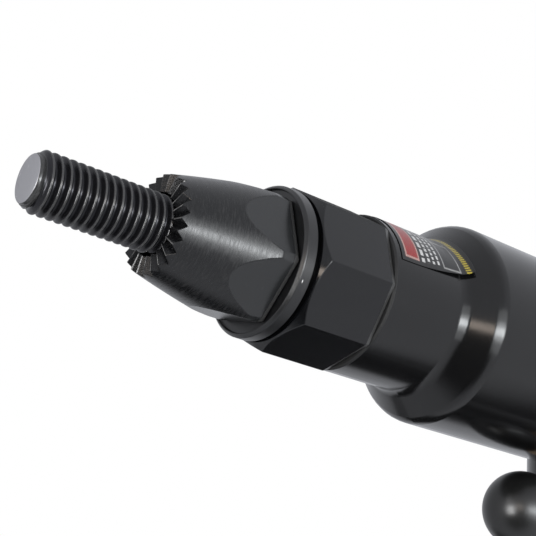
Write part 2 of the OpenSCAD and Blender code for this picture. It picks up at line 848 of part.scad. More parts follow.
module body_housing() {
    color([0.05, 0.05, 0.055])
    difference() {
        union() {
            on_axis(0) rotate_extrude() barrel_outline();
            difference() {
                in_grip() translate([0, 0, -grip_len]) linear_extrude(grip_len) grip_section();
                on_axis(collar_x1) cylinder(h = body_x1, r = body_r - body_wall / 4);
            }
        }
        barrel_bores();
        handle_bores();
    }
}

module rear_cap() {
    dome = 2.5;
    scallops = 10;
    scallop_r = 4.2;
    scallop_out = 3;
    collar_w = 3.5;
    seal_w = seal_wire_d + 2 * fit_play;
    color([0.07, 0.07, 0.075])
    difference() {
        union() {
            on_axis(cap_x0) cylinder(h = body_x1 - cap_x0, r = fit_r);
            on_axis(body_x1) cylinder(h = cap_len - dome, r = body_r);
            on_axis(cap_x1 - dome) cylinder(h = dome, r1 = body_r, r2 = body_r - dome);
        }
        on_axis(cap_x0 - over) cylinder(h = cap_pocket + over, r = rotor_bearing_od / 2);
        on_axis(cap_x0) cylinder(h = cap_x1 - cap_x0 + over, r = reverse_r + run_gap);
        on_axis(cap_x0)
            cylinder(h = retainer_x0 + retainer_t + rotor_gap - cap_x0, r = reverse_r + shoulder_step);
        on_axis(cap_seal_x - seal_w / 2) ring(seal_w, fit_r + over, fit_r - seal_wire_d - fit_play);
        for (i = [0:scallops - 1])
            rotate([360 * (i + 0.5) / scallops, 0, 0]) translate([0, 0, body_r + scallop_out])
                on_axis(body_x1 + collar_w) cylinder(h = cap_len, r = scallop_r);
    }
}

module rear_cap_seal() {
    color([0.08, 0.08, 0.08]) on_axis(cap_seal_x) seal_ring(fit_r - seal_wire_d / 2, seal_wire_d);
}

module reverse_valve() {
    color([0.6, 0.58, 0.5])
    difference() {
        on_axis(reverse_x0) cylinder(h = knob_x1 - knob_floor - reverse_x0, r = reverse_r);
        on_axis(retainer_x0) ring(retainer_t, reverse_r + over, reverse_r - retainer_groove);
        on_axis(reverse_x0 - over) cylinder(h = 2 * cap_pocket + over, r = reverse_r - cap_pocket);
        on_axis(knob_x1 - knob_screw_len - over) cylinder(h = knob_screw_len + over, r = screw_r);
    }
}

module reverse_retainer() {
    opening = 3;
    color([0.3, 0.3, 0.32])
    difference() {
        on_axis(retainer_x0) ring(retainer_t, reverse_r + over, reverse_r - retainer_groove);
        translate([retainer_x0 - over, -opening / 2, 0]) cube([retainer_t + 2 * over, opening, reverse_d]);
    }
}

module reverse_knob() {
    grips = 12;
    grip_r = 1.8;
    bar_w = 7;
    bar_h = 4;
    edge = 1.2;
    color([0.09, 0.09, 0.1])
    difference() {
        union() {
            on_axis(knob_x0) cylinder(h = edge, r1 = knob_d / 2 - edge, r2 = knob_d / 2);
            on_axis(knob_x0 + edge) cylinder(h = knob_len - edge - bar_h, r = knob_d / 2);
            intersection() {
                on_axis(knob_x0) cylinder(h = knob_len, r = knob_d / 2);
                translate([knob_x0, -bar_w / 2, -knob_d]) cube([knob_len, bar_w, 2 * knob_d]);
            }
        }
        on_axis(knob_x0 - over) cylinder(h = knob_len - knob_floor + over, r = reverse_r);
        on_axis(knob_x0) cylinder(h = knob_len + over, r = screw_r + fit_play);
        on_axis(knob_x1 - knob_head_t) cylinder(h = knob_head_t + over, r = knob_head_r + fit_play);
        for (i = [0:grips - 1])
            rotate([360 * (i + 0.5) / grips, 0, 0]) translate([0, 0, knob_d / 2 + over])
                on_axis(knob_x0 - over) cylinder(h = knob_len + 2 * over, r = grip_r);
    }
}

module knob_screw() {
    color([0.6, 0.6, 0.62])
    difference() {
        union() {
            on_axis(knob_x1 - knob_screw_len) cylinder(h = knob_screw_len - knob_head_t, r = screw_r);
            on_axis(knob_x1 - knob_head_t) cylinder(h = knob_head_t - fit_play, r = knob_head_r);
        }
        on_axis(knob_x1 - knob_head_t + screw_r / 3) hex_bar(knob_head_t, screw_af);
    }
}

module trigger_head() {
    color([0.05, 0.05, 0.055])
    difference() {
        intersection() {
            translate([ball_x, 0, trigger_z]) sphere(d = trigger_ball_d);
            on_trigger(ball_x - trigger_ball_d) cylinder(h = trigger_ball_d + ball_flat, r = trigger_ball_d);
        }
        on_trigger(stem_x0) cylinder(h = trigger_ball_d, r = stem_d / 2);
    }
}

module trigger_stem() {
    color([0.65, 0.65, 0.67]) on_trigger(stem_x0) cylinder(h = valve_x0 - stem_x0, r = stem_d / 2);
}

module trigger_bushing() {
    color([0.7, 0.58, 0.3])
    difference() {
        union() {
            on_trigger(bushing_x0) cylinder(h = bushing_flange_t, r = bushing_flange_r);
            on_trigger(bushing_x0) cylinder(h = bushing_x1 - bushing_x0, r = bushing_r);
        }
        on_trigger(bushing_x0 - over)
            cylinder(h = bushing_x1 - bushing_x0 + 2 * over, r = stem_d / 2 + run_gap);
        on_trigger(bushing_x1 - seal_pocket)
            cylinder(h = seal_pocket + over, r = stem_d / 2 + seal_wire_d + fit_play);
    }
}

module stem_seal() {
    color([0.08, 0.08, 0.08])
        on_trigger(bushing_x1 - seal_pocket + seal_wire_d / 2 + fit_play)
            seal_ring(stem_d / 2 + seal_wire_d / 2 + run_gap, seal_wire_d);
}

module valve_seat() {
    color([0.7, 0.58, 0.3])
        on_trigger(seat_x0) ring(seat_t, chamber_d / 2 - seat_gap, stem_d / 2 + shoulder_step);
}

module throttle_valve() {
    color([0.1, 0.1, 0.1]) {
        on_trigger(valve_x0) cylinder(h = seat_t, r = chamber_d / 2 - journal_step);
        on_trigger(valve_x1) cylinder(h = valve_pilot, r = spring_r - spring_wire_d / 2 - rotor_gap);
    }
}

// Point on the spring's middle line at share t of its length
function spring_point(t) =
    let (a = 360 * spring_turns * t)
    let (len = plug_x0 - valve_x1 - spring_wire_d - 2 * roll_gap)
    [spring_r * cos(a), spring_r * sin(a), spring_wire_d / 2 + roll_gap + len * t];

module throttle_spring() {
    sides = 8;
    rings = spring_turns * 14;
    points = [for (i = [0:rings], j = [0:sides - 1])
        let (t = i / rings)
        let (a = 360 * spring_turns * t)
        let (b = 360 * j / sides)
        spring_point(t) + spring_wire_d / 2 * [cos(b) * cos(a), cos(b) * sin(a), sin(b)]];
    walls = [for (i = [0:rings - 1], j = [0:sides - 1])
        let (k = (j + 1) % sides)
        [i * sides + j, i * sides + k, (i + 1) * sides + k, (i + 1) * sides + j]];
    ends = [[for (j = [sides - 1:-1:0]) j], [for (j = [0:sides - 1]) rings * sides + j]];
    color([0.7, 0.7, 0.72]) on_trigger(valve_x1) polyhedron(points, concat(walls, ends));
}

module valve_plug() {
    color([0.6, 0.6, 0.62])
    difference() {
        on_trigger(plug_x0) cylinder(h = plug_len, r = chamber_d / 2 - thread_gap);
        on_trigger((plug_x0 + plug_x1) / 2) hex_bar(plug_len, plug_af);
    }
}

module inlet_bushing() {
    foot = grip_len + exhaust_t;
    color([0.62, 0.62, 0.64])
    in_grip() difference() {
        union() {
            translate([0, 0, -foot - inlet_hex_len]) hex_bar(inlet_hex_len, inlet_af);
            translate([0, 0, -foot])
                cylinder(h = exhaust_t + inlet_thread_up - inlet_spare, r = inlet_male_d / 2);
        }
        translate([0, 0, -foot - inlet_hex_len - over])
            cylinder(h = inlet_thread_len + over, r = inlet_bore_d / 2);
        translate([0, 0, -foot]) cylinder(h = exhaust_t + inlet_thread_up, r = inlet_passage_r);
        translate([0, 0, -grip_len + inlet_thread_up - screen_seat])
            cylinder(h = screen_seat, r = inlet_passage_r + screen_step);
    }
}

module inlet_screen() {
    holes = 8;
    color([0.75, 0.75, 0.77])
    in_grip() translate([0, 0, -grip_len + inlet_thread_up - screen_seat]) difference() {
        cylinder(h = screen_t, r = inlet_passage_r + screen_step - seat_gap);
        translate([0, 0, -over]) cylinder(h = screen_t + 2 * over, r = screen_hole_r);
        for (i = [0:holes - 1])
            rotate([0, 0, 360 * i / holes]) translate([inlet_passage_r - 2 * screen_hole_r, 0, -over])
                cylinder(h = screen_t + 2 * over, r = screen_hole_r);
    }
}

// Foot pocket that holds the felt, as a flat outline
module felt_outline(gap) {
    difference() {
        grip_section(-felt_wall - gap);
        circle(r = inlet_male_d / 2 + felt_hub + gap);
        for (s = [-1, 1]) translate([s * screw_x, 0]) circle(r = screw_r + felt_hub + gap);
    }
}

module exhaust_cap() {
    color([0.08, 0.08, 0.085])
    in_grip() translate([0, 0, -grip_len - exhaust_t]) difference() {
        linear_extrude(exhaust_t) grip_section();
        translate([0, 0, -over]) cylinder(h = exhaust_t + 2 * over, r = inlet_male_d / 2 + thread_gap);
        translate([0, 0, exhaust_t - felt_t - felt_gap])
            linear_extrude(felt_t + felt_gap + over) felt_outline(0);
        for (s = [-1, 1]) {
            translate([s * screw_x, 0, -over]) cylinder(h = exhaust_t + 2 * over, r = screw_r + fit_play);
            translate([s * screw_x, 0, -over]) cylinder(h = screw_head_t + ring_gap + over, r = 2 * screw_r);
            for (i = [0:vent_count - 1])
                translate([(i - (vent_count - 1) / 2) * vent_pitch, s * (grip_w / 2 - vent_inset), -over])
                    cylinder(h = exhaust_t, r = vent_r);
        }
    }
}

module muffler_felt() {
    color([0.55, 0.53, 0.48])
        in_grip() translate([0, 0, -grip_len - felt_t]) linear_extrude(felt_t) felt_outline(felt_gap);
}

module exhaust_cap_screws() {
    color([0.3, 0.3, 0.32])
    in_grip() for (s = [-1, 1])
        translate([s * screw_x, 0, -grip_len - exhaust_t + ring_gap]) difference() {
            union() {
                cylinder(h = screw_head_t, r = 2 * screw_r - fit_play);
                cylinder(h = exhaust_t + screw_depth, r = screw_r);
            }
            translate([0, 0, -over]) hex_bar(screw_head_t / 2 + over, screw_af);
        }
}

mandrel();
nosepiece();
lock_ring();
nose_collar();
thrust_washer_front();
thrust_cage();
thrust_needles();
thrust_washer_rear();
drive_bit();
output_spindle();
planet_pins();
planet_gear_1();
planet_gear_2();
planet_gear_3();
ring_gear();
spindle_bearing_outer();
spindle_bearing_balls();
spindle_bearing_inner();
front_end_plate();
front_bearing_outer();
front_bearing_balls();
front_bearing_inner();
rotor();
rotor_vanes();
motor_cylinder();
rear_end_plate();
rear_bearing_outer();
rear_bearing_balls();
rear_bearing_inner();
body_housing();
rear_cap();
rear_cap_seal();
reverse_valve();
reverse_knob();
knob_screw();
reverse_retainer();
trigger_head();
trigger_stem();
trigger_bushing();
stem_seal();
valve_seat();
throttle_valve();
throttle_spring();
valve_plug();
inlet_bushing();
inlet_screen();
exhaust_cap();
muffler_felt();
exhaust_cap_screws();
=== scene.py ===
"""Looks of an air-driven rivet nut tool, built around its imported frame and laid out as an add-on."""
import json
import math

import bmesh
import bpy
from bpy.props import FloatProperty, FloatVectorProperty, IntProperty, PointerProperty
from bpy.types import Operator, Panel, PropertyGroup
from mathutils import Matrix, Vector

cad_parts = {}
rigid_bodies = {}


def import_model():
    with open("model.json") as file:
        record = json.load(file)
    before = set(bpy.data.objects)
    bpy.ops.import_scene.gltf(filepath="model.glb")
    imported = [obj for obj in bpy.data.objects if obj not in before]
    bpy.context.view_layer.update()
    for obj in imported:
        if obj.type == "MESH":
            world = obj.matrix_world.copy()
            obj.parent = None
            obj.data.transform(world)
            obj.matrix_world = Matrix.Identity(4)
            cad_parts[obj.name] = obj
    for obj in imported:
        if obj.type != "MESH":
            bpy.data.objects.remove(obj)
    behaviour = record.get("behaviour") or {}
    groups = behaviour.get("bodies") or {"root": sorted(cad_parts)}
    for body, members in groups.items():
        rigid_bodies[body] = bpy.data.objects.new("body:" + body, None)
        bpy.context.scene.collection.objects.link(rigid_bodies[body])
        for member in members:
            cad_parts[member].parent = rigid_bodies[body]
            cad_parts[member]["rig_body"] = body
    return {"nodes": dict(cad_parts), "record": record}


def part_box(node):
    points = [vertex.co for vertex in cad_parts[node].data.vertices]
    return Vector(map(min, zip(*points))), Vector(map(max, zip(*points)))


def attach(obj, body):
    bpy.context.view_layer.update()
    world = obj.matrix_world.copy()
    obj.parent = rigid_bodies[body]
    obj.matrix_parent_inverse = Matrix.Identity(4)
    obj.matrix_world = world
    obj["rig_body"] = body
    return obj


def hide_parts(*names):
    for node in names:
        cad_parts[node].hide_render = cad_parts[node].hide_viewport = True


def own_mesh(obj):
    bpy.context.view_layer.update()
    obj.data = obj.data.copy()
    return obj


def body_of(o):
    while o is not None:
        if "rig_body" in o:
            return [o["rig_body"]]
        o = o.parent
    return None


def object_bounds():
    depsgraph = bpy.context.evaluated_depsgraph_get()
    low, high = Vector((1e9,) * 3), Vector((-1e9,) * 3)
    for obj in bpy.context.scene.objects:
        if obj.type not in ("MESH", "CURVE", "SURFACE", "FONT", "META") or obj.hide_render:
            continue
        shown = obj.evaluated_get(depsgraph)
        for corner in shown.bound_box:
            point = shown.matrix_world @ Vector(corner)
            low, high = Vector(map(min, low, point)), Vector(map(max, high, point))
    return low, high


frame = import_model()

bl_info = {
    "name": "Rivet nut tool",
    "version": (1, 0, 0),
    "blender": (4, 5, 0),
    "location": "View3D > Sidebar > Rivet nut tool",
    "description": "Builds the looks of an air-driven rivet nut tool around its packed frame",
    "category": "Object",
}

MM = 0.001
CAD_BOX = [list(corner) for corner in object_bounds()]
AXLE = Vector((1.0, 0.0, 0.0))
ROUND_STEPS = 192
NOSE_FLATS = 6
COLLAR_FLATS = 8
WELD = 0.02 * MM
BORE_GAP = 0.05 * MM


def size(name, words, millimetres):
    """A length property whose default is written in millimetres."""
    return FloatProperty(name=name, description=words, default=millimetres * MM, unit="LENGTH", precision=5)


def tint(name, words, colour):
    """A colour property, in linear light."""
    return FloatVectorProperty(name=name, description=words, default=colour, size=3, min=0.0, max=1.0,
                               subtype="COLOR")


def direction(name, words, vector):
    """A unit vector property."""
    return FloatVectorProperty(name=name, description=words, default=vector, size=3, subtype="DIRECTION")


def angle(name, words, degrees):
    """An angle property whose default is written in degrees."""
    return FloatProperty(name=name, description=words, default=math.radians(degrees), subtype="ANGLE")


def power(name, words, watts):
    """A lamp's power."""
    return FloatProperty(name=name, description=words, default=watts, unit="POWER")


class NoseSettings(PropertyGroup):
    """Sizes of the threaded mandrel, the nosepiece, its lock ring and the collar."""

    thread_pitch: size("Thread pitch", "Axial distance between two thread crests", 1.5)
    thread_depth: size("Thread depth", "Height of a thread crest over its root", 0.92)
    tip_face: size("Tip face", "Radius of the mandrel's flat end", 3.75)
    tip_chamfer: size("Tip chamfer", "Width of the chamfer on the mandrel's free end", 1.6)
    shank_radius: size("Shank radius", "Radius of the plain shank behind the thread", 4.65)
    head_length: size("Head length", "Length of the mandrel's head", 10.0)
    socket_radius: size("Socket radius", "Radius of the drive socket in the mandrel's head", 4.7)
    tooth_count: IntProperty(name="Teeth", description="Radial teeth on the nosepiece's face", default=24)
    tooth_clock: angle("Tooth clock", "Turn of the first tooth valley", 7.3)
    tooth_slope: FloatProperty(name="Tooth slope", description="Depth of a tooth valley over its radius",
                               default=0.165)
    face_radius: size("Face radius", "Radius of the nosepiece's toothed face", 8.3)
    bore_radius: size("Bore radius", "Radius of the hole that the mandrel runs in", 5.35)
    belly_radius: size("Belly radius", "Greatest radius of the nosepiece", 12.0)
    rear_radius: size("Rear radius", "Radius of the nosepiece at its rear face", 11.85)
    flank_length: size("Flank length", "Length of the nosepiece's curved flank", 17.5)
    flank_arc: size("Flank arc", "Radius of the nosepiece's curved flank", 220.0)
    flat_distance: size("Flat distance", "Distance of each wrench flat from the axis", 10.65)
    flat_clock: angle("Flat clock", "Turn of the wrench flats' first corner from the top", 35.0)
    rear_chamfer: size("Rear chamfer", "Length of the slope behind the wrench flats", 0.9)
    chamfer_slope: angle("Chamfer slope", "Slope of the chamfers behind the flats", 18.0)
    stud_radius: size("Stud radius", "Radius of the threaded stud behind the nosepiece", 10.0)
    ring_chamfer: size("Ring chamfer", "Chamfer on the lock ring's front edge", 0.5)
    ring_recess: size("Ring recess", "Radius of the recess in the lock ring's face", 12.6)
    ring_boss: size("Ring boss", "Radius of the boss behind the lock ring", 11.8)
    boss_width: size("Boss width", "Width of that boss", 1.0)
    collar_flat: size("Collar flat", "Distance of each collar flat from the axis", 13.5)
    collar_length: size("Collar length", "Length of the collar's octagon", 15.4)
    collar_chamfer: size("Collar chamfer", "Chamfer on the collar's front corners", 1.3)
    collar_rear: size("Collar rear chamfer", "Length of the slope behind the collar's flats", 0.9)
    collar_stud: size("Collar stud", "Radius of the stud behind the collar", 11.5)
    edge: size("Broken edge", "Width of the broken edges on the turned parts", 0.08)


class BodySettings(PropertyGroup):
    """Sizes of the barrel, its label and fittings, and the throttle spring."""

    neck_radius: size("Neck radius", "Radius of the barrel's neck", 14.2)
    slope_start: size("Slope start", "Axial place where the barrel's slope would leave the neck", 56.5)
    slope_fillet: size("Slope fillet", "Radius of the fillet between neck and slope", 3.0)
    label_front: size("Label front", "Axial place of the label's front edge", 41.2)
    label_rear: size("Label rear", "Axial place of the label's rear edge", 57.7)
    label_reach: angle("Label reach", "Turn from the top to the label's lower edge", 69.0)
    label_rise: angle("Label rise", "How much less far the label's rear end reaches", 6.0)
    label_thickness: size("Label thickness", "Thickness of the label's film", 0.1)
    label_lift: size("Label lift", "How far the label's loose corner stands off the barrel", 0.9)
    edge: size("Broken edge", "Width of the broken edges on the body's fittings", 0.25)
    spring_wire: size("Spring wire", "Thickness of the throttle spring's wire", 0.9)
    spring_turns: IntProperty(name="Spring turns", description="Turns of the throttle spring", default=6)
    trigger_travel: size("Trigger travel", "How far the trigger slides in", 4.5)


class ColourSettings(PropertyGroup):
    """Main colours of the finishes."""

    paint: tint("Paint", "Black gloss paint of the body", (0.002, 0.002, 0.0024))
    oxide: tint("Oxide", "Black oxide of the nose parts", (0.0018, 0.0018, 0.0025))
    thread: tint("Thread", "Dark steel of the mandrel", (0.020, 0.020, 0.023))
    stripe: tint("Stripe", "Red band on the label", (0.17, 0.010, 0.009))
    line: tint("Line", "Yellow line on the label", (0.24, 0.19, 0.02))


class StageSettings(PropertyGroup):
    """Camera and lamps."""

    camera_place: FloatVectorProperty(name="Camera place", description="Where the camera stands", size=3,
                                      default=(-0.0910, -0.1662, -0.0488), subtype="TRANSLATION",
                                      unit="LENGTH")
    camera_view: direction("Camera view", "Where the camera looks", (0.5521, 0.8007, 0.2326))
    camera_up: direction("Camera up", "The picture's upward direction", (-0.2814, -0.0837, 0.9560))
    camera_lens: FloatProperty(name="Lens", description="Focal length in millimetres on a 36 mm sensor",
                               default=82.74)
    strip_toward: direction("Strip lamp", "Direction of the long side lamp", (0.0, -1.0, -0.03))
    strip_power: power("Strip power", "Power of the long side lamp in watts", 4.8)
    spot_toward: direction("Front lamp", "Direction of the small front lamp", (-0.96, -0.22, -0.15))
    spot_power: power("Front power", "Power of the front lamp in watts", 1.9)
    warm_toward: direction("Warm lamp", "Direction of the weak warm lamp", (-0.76, -0.64, 0.02))
    warm_power: power("Warm power", "Power of the warm lamp in watts", 0.36)


# Shader maths


class Wire:
    """One shader socket; arithmetic on it adds Math nodes to its finish."""

    def __init__(self, finish, socket):
        self.finish = finish
        self.socket = socket

    def math(self, operation, *values):
        return self.finish.node("ShaderNodeMath", {"operation": operation}, dict(enumerate(values)))[0]

    def __add__(self, other):
        return self.math("ADD", self, other)

    __radd__ = __add__

    def __sub__(self, other):
        return self.math("SUBTRACT", self, other)

    def __rsub__(self, other):
        return self.math("SUBTRACT", other, self)

    def __mul__(self, other):
        return self.math("MULTIPLY", self, other)

    __rmul__ = __mul__

    def __truediv__(self, other):
        return self.math("DIVIDE", self, other)

    def __rtruediv__(self, other):
        return self.math("DIVIDE", other, self)

    def __lt__(self, other):
        return self.math("LESS_THAN", self, other)

    def __abs__(self):
        return self.math("ABSOLUTE", self)

    def root(self):
        return self.math("SQRT", self)


class Finish:
    """A node tree under construction, for a material or the world."""

    def __init__(self, owner):
        self.owner = owner
        owner.use_nodes = True
        self.tree = owner.node_tree
        self.tree.nodes.clear()

    def node(self, kind, settings=None, sockets=None):
        """Adds a node, sets it up, wires or fills its sockets, and returns its outputs."""
        made = self.tree.nodes.new(kind)
        for key, value in (settings or {}).items():
            setattr(made, key, value)
        for key, value in (sockets or {}).items():
            if isinstance(value, Wire):
                self.tree.links.new(value.socket, made.inputs[key])
            else:
                made.inputs[key].default_value = value
        return [Wire(self, socket) for socket in made.outputs]

    def place(self):
        """Object coordinates and their X, Y and Z."""
        point = self.node("ShaderNodeTexCoord")[3]
        return point, *self.node("ShaderNodeSeparateXYZ", sockets={0: point})

    def noise(self, point, scale, detail=3.0, roughness=0.55):
        sockets = {"Vector": point, "Scale": scale, "Detail": detail, "Roughness": roughness}
        return self.node("ShaderNodeTexNoise", sockets=sockets)[0]

    def vector(self, x, y, z):
        return self.node("ShaderNodeCombineXYZ", sockets={0: x, 1: y, 2: z})[0]

    def vector_math(self, operation, *vectors):
        """The vector and the value that a Vector Math node gives."""
        return self.node("ShaderNodeVectorMath", {"operation": operation}, dict(enumerate(vectors)))

    def turned_point(self, axial, around, radial):
        """A point that runs along X and round it, for marks left by a lathe."""
        x, y, z = self.place()[1:]
        turn = y.math("ARCTAN2", y, z)
        return self.vector(x * axial, turn * around, (y * y + z * z).root() * radial)

    def step(self, value, low, high, first=0.0, last=1.0):
        """A smooth step from first to last as value goes from low to high."""
        sockets = {0: value, 1: low, 2: high, 3: first, 4: last}
        return self.node("ShaderNodeMapRange", {"interpolation_type": "SMOOTHSTEP"}, sockets)[0]

    def blend(self, factor, first, last):
        """A colour between first and last."""
        sockets = {0: factor, 6: opaque(first), 7: opaque(last)}
        return self.node("ShaderNodeMix", {"data_type": "RGBA"}, sockets)[2]

    def bump(self, height, distance, strength=1.0):
        return self.node("ShaderNodeBump", sockets={"Height": height, "Distance": distance,
                                                    "Strength": strength})[0]

    def surface(self, **sockets):
        """Closes the tree with a Principled shader; socket names have underscores for spaces."""
        named = {key.replace("_", " "): value for key, value in sockets.items()}
        shader = self.node("ShaderNodeBsdfPrincipled", sockets=named)[0]
        self.node("ShaderNodeOutputMaterial", sockets={0: shader})
        return self.owner


def opaque(colour):
    """A colour with its alpha, or the wire that carries one."""
    return colour if isinstance(colour, Wire) else (*colour, 1.0)


def new_finish(name):
    return Finish(bpy.data.materials.new(name))


def grey(level, warmth=0.0):
    return (level * (1.0 + warmth), level, level * (1.0 - warmth))


# Finishes


def gloss_paint(colours):
    """Thick black gloss paint with faint orange peel and some dust, dull along the neck's front edge."""
    f = new_finish("black_paint")
    point, x = f.place()[:2]
    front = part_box("body_housing")[0].x
    dull = f.step(x, front + 0.00035, front + 0.0005, 0.5, 0.0)
    peel = f.noise(point, 900.0, 2.0)
    dust = f.step(f.noise(point, 2600.0, 4.0, 0.7), 0.66, 0.80)
    cloud = f.noise(point, 70.0, 3.0)
    colour = f.blend(cloud, colours.paint, grey(0.0035))
    return f.surface(Base_Color=f.blend(dust * 0.3, colour, (0.03, 0.027, 0.024)),
                     Roughness=0.13 + cloud * 0.06 + dust * 0.2 + dull, Specular_IOR_Level=0.46,
                     Normal=f.bump(peel, 0.00002, 0.25))


def black_oxide(f, colours, brush, roughness, gloss):
    """Satin black oxide on turned steel, with short marks round the axis: its colour and other sockets."""
    point = f.place()[0]
    marks = f.noise(f.turned_point(5200.0, 6.0, 5200.0), 1.0, 3.0, 0.6)
    cloud = f.noise(point, 160.0, 4.0, 0.6)
    grain = f.noise(point, 5200.0, 2.0)
    scored = f.step(marks, 0.50, 0.72)
    colour = f.blend(cloud, colours.oxide, grey(0.003, -0.1))
    sockets = {"Metallic": scored * brush * 0.10, "Specular_IOR_Level": gloss,
               "Roughness": roughness + (marks - 0.5) * brush * 0.45 + grain * 0.06,
               "Normal": f.bump(marks * brush + grain * 0.2, 0.00002, 0.8)}
    return f.blend(scored * brush * 0.2, colour, grey(0.05)), sockets


def painted_slope_highlight(f, x, end, length):
    """How strongly the slope that ends at end, behind the flats of a turned part, is painted as a highlight.
    """
    return f.step(x, end - length * 0.98, end - length * 0.9) * f.step(x, end - 0.04 * MM, end, 1.0, 0.0)


def nose_oxide(colours):
    """Black oxide of the nosepiece: smoother on its flats, rubbed along tooth edges, with a painted highlight
    on its rear chamfer.
    """
    nose = bpy.context.scene.rivet_nose
    f = new_finish("nose_oxide")
    point, x, y, z = f.place()
    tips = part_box("nosepiece")[0].x
    centre_x, centre_r = flank_centre(nose)
    back = x - (tips + centre_x)
    flank = (nose.flank_arc ** 2 - back * back).root() + centre_r
    flat = f.step(flank - (y * y + z * z).root(), 0.03 * MM, 0.09 * MM)
    flat = flat * f.step(x, tips + 4.0 * MM, tips + 5.0 * MM)
    colour, rest = black_oxide(f, colours, 1.0 - flat * 0.8, 0.25 - flat * 0.03, 0.45)
    patches = f.step(f.noise(point, 260.0), 0.42, 0.62)
    rubbed = f.step(x, tips + 0.04 * MM, tips + 0.11 * MM, 1.0, 0.0) * patches
    # Painted highlight: the rear chamfer behind the flats is given a paler colour.
    slope_highlight = painted_slope_highlight(f, x, tips + nose_length(), nose.rear_chamfer)
    colour = f.blend(slope_highlight * 0.9, f.blend(flat * 0.6, colour, grey(0.016, -0.05)), grey(0.035))
    return f.surface(Base_Color=f.blend(rubbed, colour, grey(0.13)), **rest)


def ring_oxide(colours):
    """Black oxide of the lock ring, rubbed a little lighter, with one bright nick in its rim."""
    f = new_finish("ring_oxide")
    colour, rest = black_oxide(f, colours, 0.5, 0.32, 0.60)
    point = f.place()[0]
    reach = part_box("lock_ring")[1].z
    nick_y, nick_z = polar(reach, math.radians(109.0))
    place = (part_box("lock_ring")[0].x + 1.1 * MM, nick_y, nick_z)
    offset = f.vector_math("SUBTRACT", point, place)[0]
    squeezed = f.vector_math("MULTIPLY", offset, (2.4, 1.0, 0.55))[0]
    away = f.vector_math("LENGTH", squeezed)[1] + f.noise(point, 5000.0) * 0.2 * MM
    nick = f.step(away, 0.24 * MM, 0.34 * MM, 1.0, 0.0)
    return f.surface(Base_Color=f.blend(nick, colour, grey(0.50)), **rest)


def collar_oxide(colours):
    """Smooth black oxide of the collar, with a painted highlight and more roughness on its rear chamfer, matt
    on its two upper flats.
    """
    nose = bpy.context.scene.rivet_nose
    f = new_finish("black_oxide")
    colour, rest = black_oxide(f, colours, 0.15, 0.09, 0.44)
    x, y, z = f.place()[1:]
    side, rise = polar(1.0, math.pi / COLLAR_FLATS)
    upper = abs(y) * abs(side) + z * rise
    upper = f.step(upper, nose.collar_flat - 0.12 * MM, nose.collar_flat - 0.04 * MM)
    # Painted highlight: the rear chamfer is given a paler colour, and it is also made rougher.
    slope_highlight = painted_slope_highlight(f, x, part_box("nose_collar")[0].x + nose.collar_length, nose.collar_rear)
    rest["Roughness"] = rest["Roughness"] + slope_highlight * 0.25 + upper * 0.75
    return f.surface(Base_Color=f.blend(slope_highlight, colour, grey(0.03)), **rest)


def thread_steel(colours):
    """Dark rolled thread, rubbed a little brighter along its crests, with a pale cut end."""
    nose = bpy.context.scene.rivet_nose
    f = new_finish("threaded_steel")
    point, x, y, z = f.place()
    depth = (y * y + z * z).root()
    crest = thread_radius()
    rubbed = f.step(depth, crest - nose.thread_depth * 0.22, crest - nose.thread_depth * 0.02)
    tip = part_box("mandrel")[0].x
    cut = f.step(x, tip + 0.03 * MM, tip + 0.1 * MM, 1.0, 0.0)
    speck = f.noise(point, 3500.0, 4.0, 0.6)
    marks = f.noise(f.turned_point(4000.0, 6.0, 14000.0), 1.0, 2.0)
    colour = f.blend(rubbed * (0.4 + speck * 0.6), colours.thread, grey(0.10))
    colour = f.blend(f.step(x, tip + 0.9 * MM, tip + 1.3 * MM, 0.8, 0.0), colour, grey(0.07))
    colour = f.blend(cut, colour, (0.37, 0.37, 0.39))
    return f.surface(Base_Color=colour, Metallic=0.7 + cut * 0.2, Roughness=0.18 + speck * 0.14 + cut * 0.25,
                     Specular_IOR_Level=0.4, Normal=f.bump(marks + speck * 0.5, 0.000012, 0.6))


def bare_metal(name, level, roughness, warmth=0.0, marks_round=True):
    """Plain machined metal with faint tool marks."""
    f = new_finish(name)
    point = f.place()[0]
    marks = f.noise(f.turned_point(7000.0, 3.0, 7000.0), 1.0) if marks_round else f.noise(point, 1800.0)
    cloud = f.noise(point, 120.0, 3.0)
    colour = f.blend(cloud, grey(level * 0.82, warmth), grey(level, warmth))
    return f.surface(Base_Color=colour, Metallic=1.0, Roughness=roughness + marks * 0.14,
                     Normal=f.bump(marks, 0.00001, 0.4))


def cast_surface(name, level):
    """Rough cast iron with a fine grain."""
    f = new_finish(name)
    point = f.place()[0]
    grain = f.noise(point, 1500.0, 5.0, 0.65)
    return f.surface(Base_Color=f.blend(grain, grey(level * 0.6), grey(level)), Metallic=0.8,
                     Roughness=0.42 + grain * 0.2, Normal=f.bump(grain, 0.00004, 0.5))


def moulded_plastic(name, level, roughness):
    """Moulded black plastic with a soft sheen."""
    f = new_finish(name)
    point = f.place()[0]
    grain = f.noise(point, 2400.0, 3.0)
    cloud = f.noise(point, 90.0, 2.0)
    return f.surface(Base_Color=f.blend(cloud, grey(level * 0.8), grey(level)),
                     Roughness=roughness + grain * 0.08 + cloud * 0.06, Specular_IOR_Level=0.6,
                     Normal=f.bump(grain, 0.000012, 0.3))


def soft_matt(name, level, scale, warmth=0.0):
    """Rubber, felt and other soft dull stuff."""
    f = new_finish(name)
    point = f.place()[0]
    grain = f.noise(point, scale, 5.0, 0.7)
    return f.surface(Base_Color=f.blend(grain, grey(level * 0.6, warmth), grey(level, warmth)),
                     Roughness=0.72 + grain * 0.2, Normal=f.bump(grain, 0.00005, 0.6))


# Start, end and reach of each dashed rule as shares of the label, then its dashes and their filled share
LABEL_RULES = ((0.29, 0.335, 0.94, 9.0, 0.72), (0.375, 0.41, 0.93, 15.0, 0.66),
               (0.45, 0.48, 0.93, 17.0, 0.62), (0.52, 0.55, 0.92, 14.0, 0.70))


